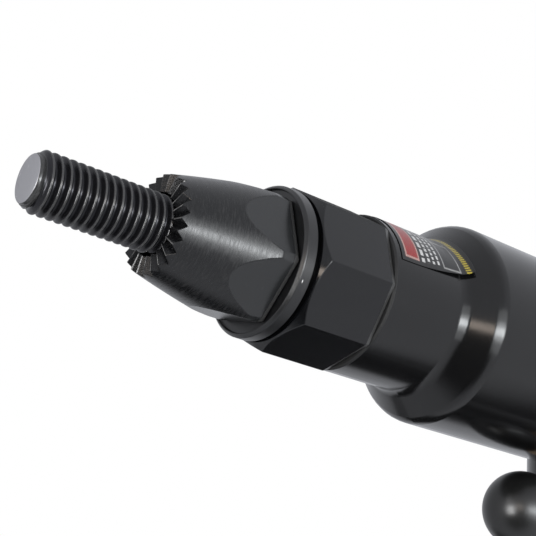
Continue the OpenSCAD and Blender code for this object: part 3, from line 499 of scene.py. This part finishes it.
def label_film(colours):
    """Printed film: a red band at the front, pale dashed rules and a yellow rule at the rear."""
    body = bpy.context.scene.rivet_body
    f = new_finish("label_film")
    point, x, y, z = f.place()
    turn = abs(y.math("ARCTAN2", y, z))
    along = (x - body.label_front) / (body.label_rear - body.label_front)
    speck = f.noise(point, 2600.0, 3.0)

    def band(low, high):
        edge = 0.006
        return f.step(along, low - edge, low + edge) * f.step(along, high - edge, high + edge, 1.0, 0.0)

    def upto(fraction):
        reach = body.label_reach * fraction
        return f.step(turn, reach - 0.01, reach + 0.01, 1.0, 0.0)

    def dashes(count, share):
        place = turn * count / body.label_reach
        return place.math("FRACT", place) < share

    rules = sum(band(low, high) * upto(reach) * dashes(count, share)
                for low, high, reach, count, share in LABEL_RULES)
    panel = band(0.60, 0.84) * upto(0.93) - band(0.615, 0.825) * upto(0.91)
    panel = panel + band(0.60, 0.84) * (upto(0.52) - upto(0.50))
    border = band(0.05, 0.25) * upto(0.95) - band(0.07, 0.23) * upto(0.925)
    colour = f.blend(speck, grey(0.003), grey(0.006))
    colour = f.blend(band(0.07, 0.23) * upto(0.925), colour, colours.stripe)
    colour = f.blend((rules + panel * 0.5) * (0.7 + speck * 0.3), colour, grey(0.40))
    colour = f.blend(border * 0.8, colour, (0.34, 0.20, 0.18))
    colour = f.blend(band(0.905, 0.95) * upto(0.95) * dashes(31.0, 0.62), colour, colours.line)
    return f.surface(Base_Color=colour, Roughness=0.24 + speck * 0.12, Specular_IOR_Level=0.5,
                     Normal=f.bump(f.noise(point, 260.0, 2.0), 0.00003, 0.4))


def floor_finish():
    """Pale matt backdrop paper."""
    f = new_finish("floor_paper")
    grain = f.noise(f.place()[0], 300.0, 3.0)
    return f.surface(Base_Color=f.blend(grain, grey(0.80), grey(0.84)), Roughness=0.8 + grain * 0.1)


# Mesh making


def thread_radius():
    """Crest radius of the mandrel's thread, from the frame's record."""
    mounts = frame["record"]["mounts"]
    return next(m["dims"]["r_mm"] for m in mounts if m["name"] == "mandrel") * MM


def polar(radius, turn):
    """Y and Z at a radius and a turn from the top towards the camera's side."""
    return -radius * math.sin(turn), radius * math.cos(turn)


def radius_of(vert):
    return math.hypot(vert.co.y, vert.co.z)


def set_radius(vert, radius):
    """Moves a vertex along its own radius round the X axis."""
    now = radius_of(vert)
    vert.co.y *= radius / now
    vert.co.z *= radius / now


def turned(outline, steps, closed=False):
    """A bmesh spun round the X axis from an outline of (x, radius) points."""
    bm = bmesh.new()
    verts = [bm.verts.new((x, 0.0, radius)) for x, radius in outline]
    ends = verts[1:] + verts[:1] if closed else verts[1:]
    edges = [bm.edges.new(pair) for pair in zip(verts, ends)]
    bmesh.ops.spin(bm, geom=verts + edges, cent=(0.0, 0.0, 0.0), axis=AXLE, angle=math.tau, steps=steps,
                   use_merge=True)
    bmesh.ops.remove_doubles(bm, verts=bm.verts, dist=1e-7)
    bmesh.ops.recalc_face_normals(bm, faces=bm.faces)
    return bm


def arc(centre, radius, first, last, count):
    """Points of an arc in the outline plane; angles in degrees from +X towards the radius."""
    turns = [math.radians(first + (last - first) * i / count) for i in range(count + 1)]
    return [(centre[0] + radius * math.cos(t), centre[1] + radius * math.sin(t)) for t in turns]


def only_edges(geom):
    return [e for e in geom if isinstance(e, bmesh.types.BMEdge)]


def cut_away(bm, place, normal):
    """Cuts off what lies beyond a plane and returns the edges of the cut."""
    geom = bm.verts[:] + bm.edges[:] + bm.faces[:]
    cut = bmesh.ops.bisect_plane(bm, geom=geom, dist=1e-7, plane_co=place, plane_no=normal, clear_outer=True)
    return only_edges(cut["geom_cut"])


def slice_flat(bm, distance, turn, start=0.0, tilt=0.0):
    """Mills a flat at a distance and a turn from the top, sloped rearwards from start, and closes the cut."""
    place = Vector((start, *polar(distance, turn)))
    normal = Vector((math.sin(tilt), *polar(math.cos(tilt), turn)))
    bmesh.ops.contextual_create(bm, geom=cut_away(bm, place, normal))


def mill_flats(bm, count, clock, distance, rear_start, tilt):
    """Mills flats all round, each with a slope behind it, and joins what the cuts left apart."""
    for i in range(count):
        turn = clock + math.radians((i + 0.5) * 360.0 / count)
        slice_flat(bm, distance, turn)
        slice_flat(bm, distance, turn, rear_start, tilt)
    bmesh.ops.remove_doubles(bm, verts=bm.verts, dist=WELD)
    bmesh.ops.recalc_face_normals(bm, faces=bm.faces)


def carry_on(bm, edges, outline):
    """Extrudes a round rim through (x, radius) points and returns the last rim."""
    for x, radius in outline:
        made = bmesh.ops.extrude_edge_only(bm, edges=edges)["geom"]
        fresh = {v for v in made if isinstance(v, bmesh.types.BMVert)}
        edges = [e for e in only_edges(made) if set(e.verts) <= fresh]
        for vert in fresh:
            vert.co.x = x
            set_radius(vert, radius)
    return edges


def break_edges(bm, width, least=25.0, segments=2):
    """Bevels the edges that turn by more than least degrees."""
    edges = [e for e in bm.edges if e.is_manifold and e.calc_face_angle(0.0) > math.radians(least)]
    bmesh.ops.bevel(bm, geom=edges, offset=width, offset_type="OFFSET", segments=segments, profile=0.5,
                    affect="EDGES", clamp_overlap=False, material=-1)


def finish_of(name):
    return bpy.data.materials[bpy.context.scene["rivet_finishes"][name]]


def make_piece(name, bm, body, finish, nodes=(), sharp=30.0):
    """Turns a bmesh into a smooth-shaded piece that rides on a body and stands for CAD nodes."""
    mesh = bpy.data.meshes.new(name)
    bm.to_mesh(mesh)
    bm.free()
    mesh.polygons.foreach_set("use_smooth", [True] * len(mesh.polygons))
    mesh.set_sharp_from_angle(angle=math.radians(sharp))
    mesh.materials.append(finish_of(finish))
    piece = bpy.data.objects.new(name, mesh)
    bpy.context.scene.collection.objects.link(piece)
    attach(piece, body)
    if nodes:
        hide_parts(*nodes)
    return piece


# Operators


class RIVET_OT_finishes(Operator):
    """Make every finish and put it on the CAD nodes by their material slot"""

    bl_idname = "rivet.finishes"
    bl_label = "Finishes"

    def execute(self, context):
        colours = context.scene.rivet_colours
        made = {
            "black_paint": gloss_paint(colours),
            "black_oxide": collar_oxide(colours),
            "threaded_steel": thread_steel(colours),
            "bright_steel": bare_metal("bright_steel", 0.55, 0.22),
            "gear_steel": bare_metal("gear_steel", 0.36, 0.30, marks_round=False),
            "bearing_steel": bare_metal("bearing_steel", 0.62, 0.14),
            "dark_steel": bare_metal("dark_steel", 0.10, 0.34),
            "brass": bare_metal("brass", 0.50, 0.26, warmth=0.34),
            "cast_iron": cast_surface("cast_iron", 0.22),
            "black_plastic": moulded_plastic("black_plastic", 0.005, 0.26),
            "rubber": soft_matt("rubber", 0.022, 1800.0),
            "vane_plastic": soft_matt("vane_plastic", 0.16, 900.0, 0.25),
            "felt": soft_matt("felt", 0.30, 2600.0, 0.08),
        }
        for node in frame["nodes"].values():
            slot = node.data.materials[0].name.split(".")[0]
            if slot not in made:
                raise RuntimeError(f"no finish for the slot {slot}")
            node.data.materials[0] = made[slot]
        made["label_film"] = label_film(colours)
        made["nose_oxide"] = nose_oxide(colours)
        made["ring_oxide"] = ring_oxide(colours)
        context.scene["rivet_finishes"] = {key: value.name for key, value in made.items()}
        return {"FINISHED"}


# Half of a thread's outline, as shares of the pitch and the depth
HALF_THREAD = ((0.00, 0.00), (0.10, 0.02), (0.18, 0.12), (0.31, 0.58), (0.39, 0.92), (0.42, 0.985),
               (0.45, 1.00), (0.475, 0.985), (0.50, 0.950))
# The rounded step behind the mandrel's end face, in millimetres behind it and outside its radius
TIP_STEP = ((0.62, 0.50), (0.55, 0.28), (0.15, 0.22), (0.04, 0.12))


class RIVET_OT_mandrel(Operator):
    """Cut the mandrel's helical thread, its chamfered tip and the plain shank behind it"""

    bl_idname = "rivet.mandrel"
    bl_label = "Threaded mandrel"

    def execute(self, context):
        nose = context.scene.rivet_nose
        low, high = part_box("mandrel")
        crest = thread_radius()
        root = crest - nose.thread_depth
        pitch = nose.thread_pitch
        turn_steps = 72
        thread_start = low.x + 1.0 * MM
        thread_end = 1.0 * MM
        turns = math.ceil((thread_end - low.x) / pitch) + 2
        shape = HALF_THREAD + tuple((1.0 - u, h) for u, h in reversed(HALF_THREAD[:-1]))
        bm = bmesh.new()
        verts = [bm.verts.new((low.x + (u - 1.5) * pitch, 0.0, root + h * nose.thread_depth))
                 for u, h in shape]
        edges = [bm.edges.new(pair) for pair in zip(verts, verts[1:])]
        bmesh.ops.spin(bm, geom=verts + edges, cent=(0.0, 0.0, 0.0), axis=AXLE,
                       dvec=(pitch / turn_steps, 0.0, 0.0), angle=math.tau * turns, steps=turns * turn_steps)
        bmesh.ops.remove_doubles(bm, verts=bm.verts, dist=1e-6)
        for vert in bm.verts:
            cone = crest - nose.tip_chamfer + max(vert.co.x - low.x, 0.0)
            if radius_of(vert) > cone:
                set_radius(vert, cone)
        front_rim = cut_away(bm, AXLE * thread_start, -AXLE)
        rear_rim = cut_away(bm, AXLE * thread_end, AXLE)
        face = nose.tip_face
        tip = [(low.x + back * MM, face + out * MM) for back, out in TIP_STEP]
        front = carry_on(bm, front_rim, tip + [(low.x, face), (low.x, face * 0.3)])
        bmesh.ops.contextual_create(bm, geom=front)
        shank, socket = nose.shank_radius, nose.socket_radius
        head = high.z
        head_x = high.x - nose.head_length
        ease = 0.4 * MM
        rear = carry_on(bm, rear_rim, [(thread_end + 0.6 * MM, shank), (head_x, shank), (head_x, head - ease),
                                       (head_x + ease, head), (high.x - ease, head), (high.x, head - ease),
                                       (high.x, socket), (head_x + nose.head_length * 0.4, socket)])
        bmesh.ops.contextual_create(bm, geom=rear)
        bmesh.ops.recalc_face_normals(bm, faces=bm.faces)
        make_piece("threaded_mandrel", bm, "spindle", "threaded_steel", ["mandrel"],
                   sharp=40.0)
        return {"FINISHED"}


def flank_radius(x, nose):
    """Radius of the nosepiece's flank at a distance x behind its tooth tips."""
    if x > nose.flank_length:
        share = (x - nose.flank_length) / (nose_length() - nose.flank_length)
        return nose.belly_radius + share * (nose.rear_radius - nose.belly_radius)
    centre_x, centre_r = flank_centre(nose)
    return centre_r + math.sqrt(nose.flank_arc ** 2 - (x - centre_x) ** 2)


def flank_centre(nose):
    """Centre of the flank's arc, as a distance behind the tooth tips and a radius."""
    rise = nose.belly_radius - nose.face_radius
    chord = math.hypot(nose.flank_length, rise)
    reach = math.sqrt(nose.flank_arc ** 2 - chord ** 2 / 4.0)
    return (nose.flank_length / 2.0 + reach * rise / chord,
            nose.face_radius + rise / 2.0 - reach * nose.flank_length / chord)


def nose_length():
    """Length of the nosepiece, whose rear edge sits in the lock ring's recess."""
    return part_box("lock_ring")[0].x + 0.3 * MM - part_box("nosepiece")[0].x


class RIVET_OT_nosepiece(Operator):
    """Turn the nosepiece, cut its radial teeth and mill its six flats"""

    bl_idname = "rivet.nosepiece"
    bl_label = "Serrated nosepiece"

    def execute(self, context):
        nose = context.scene.rivet_nose
        tips, stud_end = (corner.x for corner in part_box("nosepiece"))
        rear = tips + nose_length()
        per_tooth = 10
        steps = nose.tooth_count * per_tooth
        first_row = 1.9 * MM
        last_row = nose_length() - 1.2 * MM
        rows = 24
        flank = [first_row + (last_row - first_row) * i / rows for i in range(rows + 1)]
        ease = 0.6 * MM
        outline = [(tips, nose.bore_radius), (tips, nose.face_radius)]
        outline += [(tips + x, flank_radius(x, nose)) for x in flank]
        outline += [(rear, nose.rear_radius), (rear, nose.stud_radius), (stud_end - ease, nose.stud_radius),
                    (stud_end, nose.stud_radius - ease), (stud_end, nose.bore_radius)]
        bm = turned(outline, steps, closed=True)
        pitch = math.tau / nose.tooth_count
        land = 0.05
        for vert in bm.verts:
            if vert.co.x > tips + 1e-6:
                continue
            turn = math.atan2(-vert.co.y, vert.co.z) - nose.tooth_clock
            share = abs((turn / pitch) % 1.0 - 0.5) * 2.0
            radius = radius_of(vert)
            depth = nose.tooth_slope * radius * max(share - land, 0.0) / (1.0 - land)
            vert.co.x = tips + depth
            if radius > nose.face_radius - 1e-6:
                set_radius(vert, flank_radius(depth, nose))
        mill_flats(bm, NOSE_FLATS, nose.flat_clock, nose.flat_distance, rear - nose.rear_chamfer,
                   nose.chamfer_slope)
        break_edges(bm, nose.edge * 0.8, segments=1)
        make_piece("toothed_nosepiece", bm, "housing", "nose_oxide", ["nosepiece"], sharp=6.0)
        return {"FINISHED"}


class RIVET_OT_lock_ring(Operator):
    """Turn the lock ring with its chamfer, face recess and rear boss"""

    bl_idname = "rivet.lock_ring"
    bl_label = "Lock ring"

    def execute(self, context):
        nose = context.scene.rivet_nose
        low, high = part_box("lock_ring")
        rim = high.z
        rim_end = high.x - nose.boss_width
        bore = nose.stud_radius + BORE_GAP
        step_x = low.x + nose.ring_chamfer
        outline = [(low.x, nose.ring_recess), (low.x, rim - nose.ring_chamfer), (step_x, rim), (rim_end, rim),
                   (rim_end, nose.ring_boss), (high.x, nose.ring_boss), (high.x, bore), (step_x, bore),
                   (step_x, nose.ring_recess)]
        bm = turned(outline, ROUND_STEPS, closed=True)
        break_edges(bm, nose.edge, segments=1)
        make_piece("turned_lock_ring", bm, "housing", "ring_oxide", ["lock_ring"], sharp=20.0)
        return {"FINISHED"}


class RIVET_OT_collar(Operator):
    """Turn the collar behind the lock ring and mill its eight flats"""

    bl_idname = "rivet.collar"
    bl_label = "Eight-sided collar"

    def execute(self, context):
        nose = context.scene.rivet_nose
        low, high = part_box("nose_collar")
        corner = high.z
        end = low.x + nose.collar_length
        bore = nose.stud_radius + BORE_GAP
        chamfer = nose.collar_chamfer
        outline = [(low.x, bore), (low.x, corner - chamfer), (low.x + chamfer, corner), (end, corner),
                   (end, nose.collar_stud), (high.x, nose.collar_stud), (high.x, bore)]
        bm = turned(outline, ROUND_STEPS, closed=True)
        mill_flats(bm, COLLAR_FLATS, 0.0, nose.collar_flat, end - nose.collar_rear, nose.chamfer_slope)
        break_edges(bm, nose.edge, 30.0, segments=1)
        make_piece("milled_collar", bm, "housing", "black_oxide", ["nose_collar"], sharp=8.0)
        return {"FINISHED"}


class RIVET_OT_label(Operator):
    """Wrap the printed label over the neck, with one loose corner"""

    bl_idname = "rivet.label"
    bl_label = "Label"

    def execute(self, context):
        body = context.scene.rivet_body
        bm = bmesh.new()
        bmesh.ops.create_grid(bm, x_segments=36, y_segments=60, size=1.0)
        for vert in bm.verts:
            along = (vert.co.x + 1.0) / 2.0
            side = vert.co.y
            x = body.label_front + along * (body.label_rear - body.label_front)
            loose = max((along - 0.3) / 0.7, 0.0) ** 1.5 * max((side - 0.45) / 0.55, 0.0) ** 2
            radius = neck_surface(x, body) + 0.04 * MM + loose * body.label_lift
            y, z = polar(radius, side * (body.label_reach - along ** 2 * body.label_rise))
            vert.co = (x - loose * 0.3 * MM, y, z)
        bmesh.ops.recalc_face_normals(bm, faces=bm.faces)
        top = max(bm.faces, key=lambda face: face.calc_center_median().z)
        if top.normal.z < 0.0:
            bmesh.ops.reverse_faces(bm, faces=bm.faces)
        bmesh.ops.solidify(bm, geom=bm.faces, thickness=-body.label_thickness)
        make_piece("printed_label", bm, "housing", "label_film")
        return {"FINISHED"}


def neck_surface(x, body):
    """Radius of the barrel's neck at x, with the fillet that leads into its slope."""
    start = body.slope_start - body.slope_fillet * math.tan(math.radians(22.5))
    if x < start:
        return body.neck_radius
    turn_end = start + body.slope_fillet * math.sin(math.radians(45.0))
    bent = min(x, turn_end) - start
    return (body.neck_radius + body.slope_fillet - math.sqrt(body.slope_fillet ** 2 - bent ** 2)
            + max(x - turn_end, 0.0))


class RIVET_OT_trigger(Operator):
    """Turn the trigger's ball, with a soft edge round its rear flat"""

    bl_idname = "rivet.trigger"
    bl_label = "Trigger ball"

    def execute(self, context):
        low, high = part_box("trigger_head")
        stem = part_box("trigger_stem")[1].y
        stem_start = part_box("trigger_stem")[0].x
        radius = high.y
        centre = low.x + radius
        flat_turn = math.degrees(math.acos((high.x - centre) / radius))
        ball = arc((centre, 0.0), radius, 180.0, flat_turn + 3.0, 56)
        ease = 0.35 * MM
        flat_radius = ball[-1][1] - ease
        outline = ball + [(high.x, flat_radius), (high.x, stem), (stem_start, stem), (stem_start, 0.0)]
        bm = turned(outline, 96)
        bmesh.ops.translate(bm, verts=bm.verts, vec=(0.0, 0.0, (low.z + high.z) / 2.0))
        make_piece("trigger_ball", bm, "trigger", "black_plastic", ["trigger_head"])
        return {"FINISHED"}


class RIVET_OT_spring(Operator):
    """Coil the throttle spring, which rides with the trigger"""

    bl_idname = "rivet.spring"
    bl_label = "Throttle spring"

    def execute(self, context):
        body = context.scene.rivet_body
        low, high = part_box("throttle_spring")
        middle = (low.z + high.z) / 2.0
        wire = body.spring_wire / 2.0
        length = high.x - low.x
        steps = 24 * body.spring_turns
        bm = bmesh.new()
        start = Matrix.Translation((low.x + wire, high.y - wire, middle))
        bmesh.ops.create_circle(bm, segments=12, radius=wire, matrix=start)
        first = bm.edges[:]
        last = bmesh.ops.spin(bm, geom=bm.verts[:] + first, cent=(0.0, 0.0, middle), axis=AXLE,
                              dvec=((length - 2.0 * wire) / steps, 0.0, 0.0),
                              angle=math.tau * body.spring_turns, steps=steps)["geom_last"]
        for rim in (first, last):
            bmesh.ops.contextual_create(bm, geom=only_edges(rim))
        bmesh.ops.recalc_face_normals(bm, faces=bm.faces)
        spring = make_piece("coiled_throttle_spring", bm, "trigger", "bright_steel",
                            ["throttle_spring"])
        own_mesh(spring)
        return {"FINISHED"}


# CAD nodes that get broken edges, with their share of the edge's width
FITTINGS = {"rear_cap": 1.0, "reverse_knob": 1.0, "exhaust_cap": 1.0, "trigger_bushing": 0.6,
            "inlet_bushing": 0.6, "knob_screw": 0.4, "exhaust_cap_screws": 0.4}


class RIVET_OT_fittings(Operator):
    """Break the sharp edges of the body's caps, knob, screws and bushings"""

    bl_idname = "rivet.fittings"
    bl_label = "Edged fittings"

    def execute(self, context):
        width = context.scene.rivet_body.edge
        for node, share in FITTINGS.items():
            source = frame["nodes"][node]
            bm = bmesh.new()
            bm.from_mesh(source.data)
            bmesh.ops.remove_doubles(bm, verts=bm.verts, dist=1e-6)
            bmesh.ops.dissolve_limit(bm, angle_limit=math.radians(0.5), verts=bm.verts, edges=bm.edges)
            break_edges(bm, width * share, 40.0)
            slot = source.data.materials[0].name.split(".")[0]
            make_piece("edged_" + node, bm, body_of(source)[0], slot, [node])
        return {"FINISHED"}


class RIVET_OT_stage(Operator):
    """Set up the camera, the lamps, the white surround and the floor"""

    bl_idname = "rivet.stage"
    bl_label = "Stage"

    def execute(self, context):
        scene = context.scene
        stage = scene.rivet_stage
        view = Vector(stage.camera_view).normalized()
        right = view.cross(Vector(stage.camera_up)).normalized()
        up = right.cross(view)
        basis = Matrix((right, up, -view)).transposed()

        data = bpy.data.cameras.new("photo_camera")
        data.lens = stage.camera_lens
        data.sensor_width = 36.0
        data.clip_start = 0.01
        camera = bpy.data.objects.new("photo_camera", data)
        camera.matrix_world = Matrix.Translation(stage.camera_place) @ basis.to_4x4()
        scene.collection.objects.link(camera)
        scene.camera = camera

        nose_middle = Vector((40.0, 0.0, 0.0)) * MM
        trigger = sum(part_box("trigger_head"), Vector()) / 2.0
        cool, warm = (0.95, 0.98, 1.0), (1.0, 0.86, 0.74)
        for name, height, share in (("core", 0.09, 0.45), ("edge", 0.21, 0.28), ("glow", 0.50, 0.27)):
            add_lamp("strip_" + name, nose_middle, stage.strip_toward, 0.62 + height * 0.04, (0.58, height),
                     stage.strip_power * share, cool)
        add_lamp("front_lamp", trigger, stage.spot_toward, 0.50, (0.18, 0.18), stage.spot_power)
        add_lamp("warm_lamp", nose_middle, stage.warm_toward, 0.60, (0.20, 0.08), stage.warm_power, warm)
        light_surround(scene)
        lay_floor()
        scene.view_settings.view_transform = "Standard"
        return {"FINISHED"}


def add_lamp(name, target, toward, distance, extent, power, colour=(1.0, 1.0, 1.0)):
    """A rectangular soft lamp that points at a target; the camera doesn't see it."""
    data = bpy.data.lights.new(name, "AREA")
    data.shape = "RECTANGLE"
    data.size, data.size_y = extent
    data.energy = power
    data.color = colour
    lamp = bpy.data.objects.new(name, data)
    back = Vector(toward).normalized()
    turn = back.to_track_quat("Z", "Y").to_matrix().to_4x4()
    lamp.matrix_world = Matrix.Translation(target + back * distance) @ turn
    lamp.visible_camera = False
    bpy.context.scene.collection.objects.link(lamp)


def light_surround(scene):
    """White to the camera; reflections also see a dark strip below and a dark side behind the camera."""
    scene.world = bpy.data.worlds.new("surround")
    f = Finish(scene.world)
    seen = f.node("ShaderNodeTexCoord")[0]
    x, y, z = f.node("ShaderNodeSeparateXYZ", sockets={0: seen})

    def toward(vector):
        return f.vector_math("DOT_PRODUCT", seen, Vector(vector).normalized())[1]

    from_strip = abs(toward((0.467, 0.705, 0.531)) - 0.06)
    strip = f.step(from_strip, 0.19, 0.36, 1.0, 0.0) * f.step(z, -0.56, -0.40, 1.0, 0.0)
    strip = strip * f.step(x, -0.25, 0.05)
    camera_side = f.step(toward((-0.70, -0.50, -0.50)), 0.70, 0.95)
    shade = (1.0 - strip * 0.95) * (1.0 - camera_side * 0.95) * f.step(x, -0.3, 0.3, 0.72, 0.88)
    shade = shade * f.step(y, 0.3, 0.8, 1.0, 0.8)
    rays = f.node("ShaderNodeLightPath")
    camera_ray, glossy_ray, transmission_ray = rays[0], rays[3], rays[6]
    direct = camera_ray + glossy_ray * shade + transmission_ray
    strength = direct + (1.0 - camera_ray - glossy_ray - transmission_ray) * 0.7
    colour = f.blend(glossy_ray, grey(1.0), (0.95, 0.97, 1.03))
    background = f.node("ShaderNodeBackground", sockets={0: colour, 1: strength})[0]
    f.node("ShaderNodeOutputWorld", sockets={0: background})


def lay_floor():
    """A large pale sheet under the tool's lowest point."""
    bm = bmesh.new()
    bmesh.ops.create_grid(bm, x_segments=4, y_segments=4, size=2.0)
    bmesh.ops.translate(bm, verts=bm.verts, vec=(0.0, 0.0, CAD_BOX[0][2] - 0.2 * MM))
    mesh = bpy.data.meshes.new("floor")
    bm.to_mesh(mesh)
    bm.free()
    mesh.materials.append(floor_finish())
    floor = bpy.data.objects.new("floor", mesh)
    floor.visible_glossy = False
    bpy.context.scene.collection.objects.link(floor)


class RIVET_PT_panel(Panel):
    """Lists the tool's operators and sizes"""

    bl_idname = "RIVET_PT_panel"
    bl_label = "Rivet nut tool"
    bl_space_type = "VIEW_3D"
    bl_region_type = "UI"
    bl_category = "Rivet nut tool"

    def draw(self, context):
        for step in STEPS:
            self.layout.operator(step.bl_idname)
        for group in SETTINGS:
            settings = getattr(context.scene, group)
            box = self.layout.box()
            for name in settings.__annotations__:
                box.prop(settings, name)


SETTINGS = {"rivet_nose": NoseSettings, "rivet_body": BodySettings, "rivet_colours": ColourSettings,
            "rivet_stage": StageSettings}
STEPS = (RIVET_OT_finishes, RIVET_OT_mandrel, RIVET_OT_nosepiece, RIVET_OT_lock_ring, RIVET_OT_collar,
         RIVET_OT_label, RIVET_OT_trigger, RIVET_OT_spring, RIVET_OT_fittings, RIVET_OT_stage)


def register():
    for group in SETTINGS.values():
        bpy.utils.register_class(group)
    for name, group in SETTINGS.items():
        setattr(bpy.types.Scene, name, PointerProperty(type=group))
    for step in (*STEPS, RIVET_PT_panel):
        bpy.utils.register_class(step)


def unregister():
    for step in (RIVET_PT_panel, *reversed(STEPS)):
        bpy.utils.unregister_class(step)
    for name, group in SETTINGS.items():
        delattr(bpy.types.Scene, name)
        bpy.utils.unregister_class(group)


def main():
    register()
    for step in STEPS:
        getattr(bpy.ops.rivet, step.bl_idname.split(".")[1])()


if __name__ == "__main__":
    main()
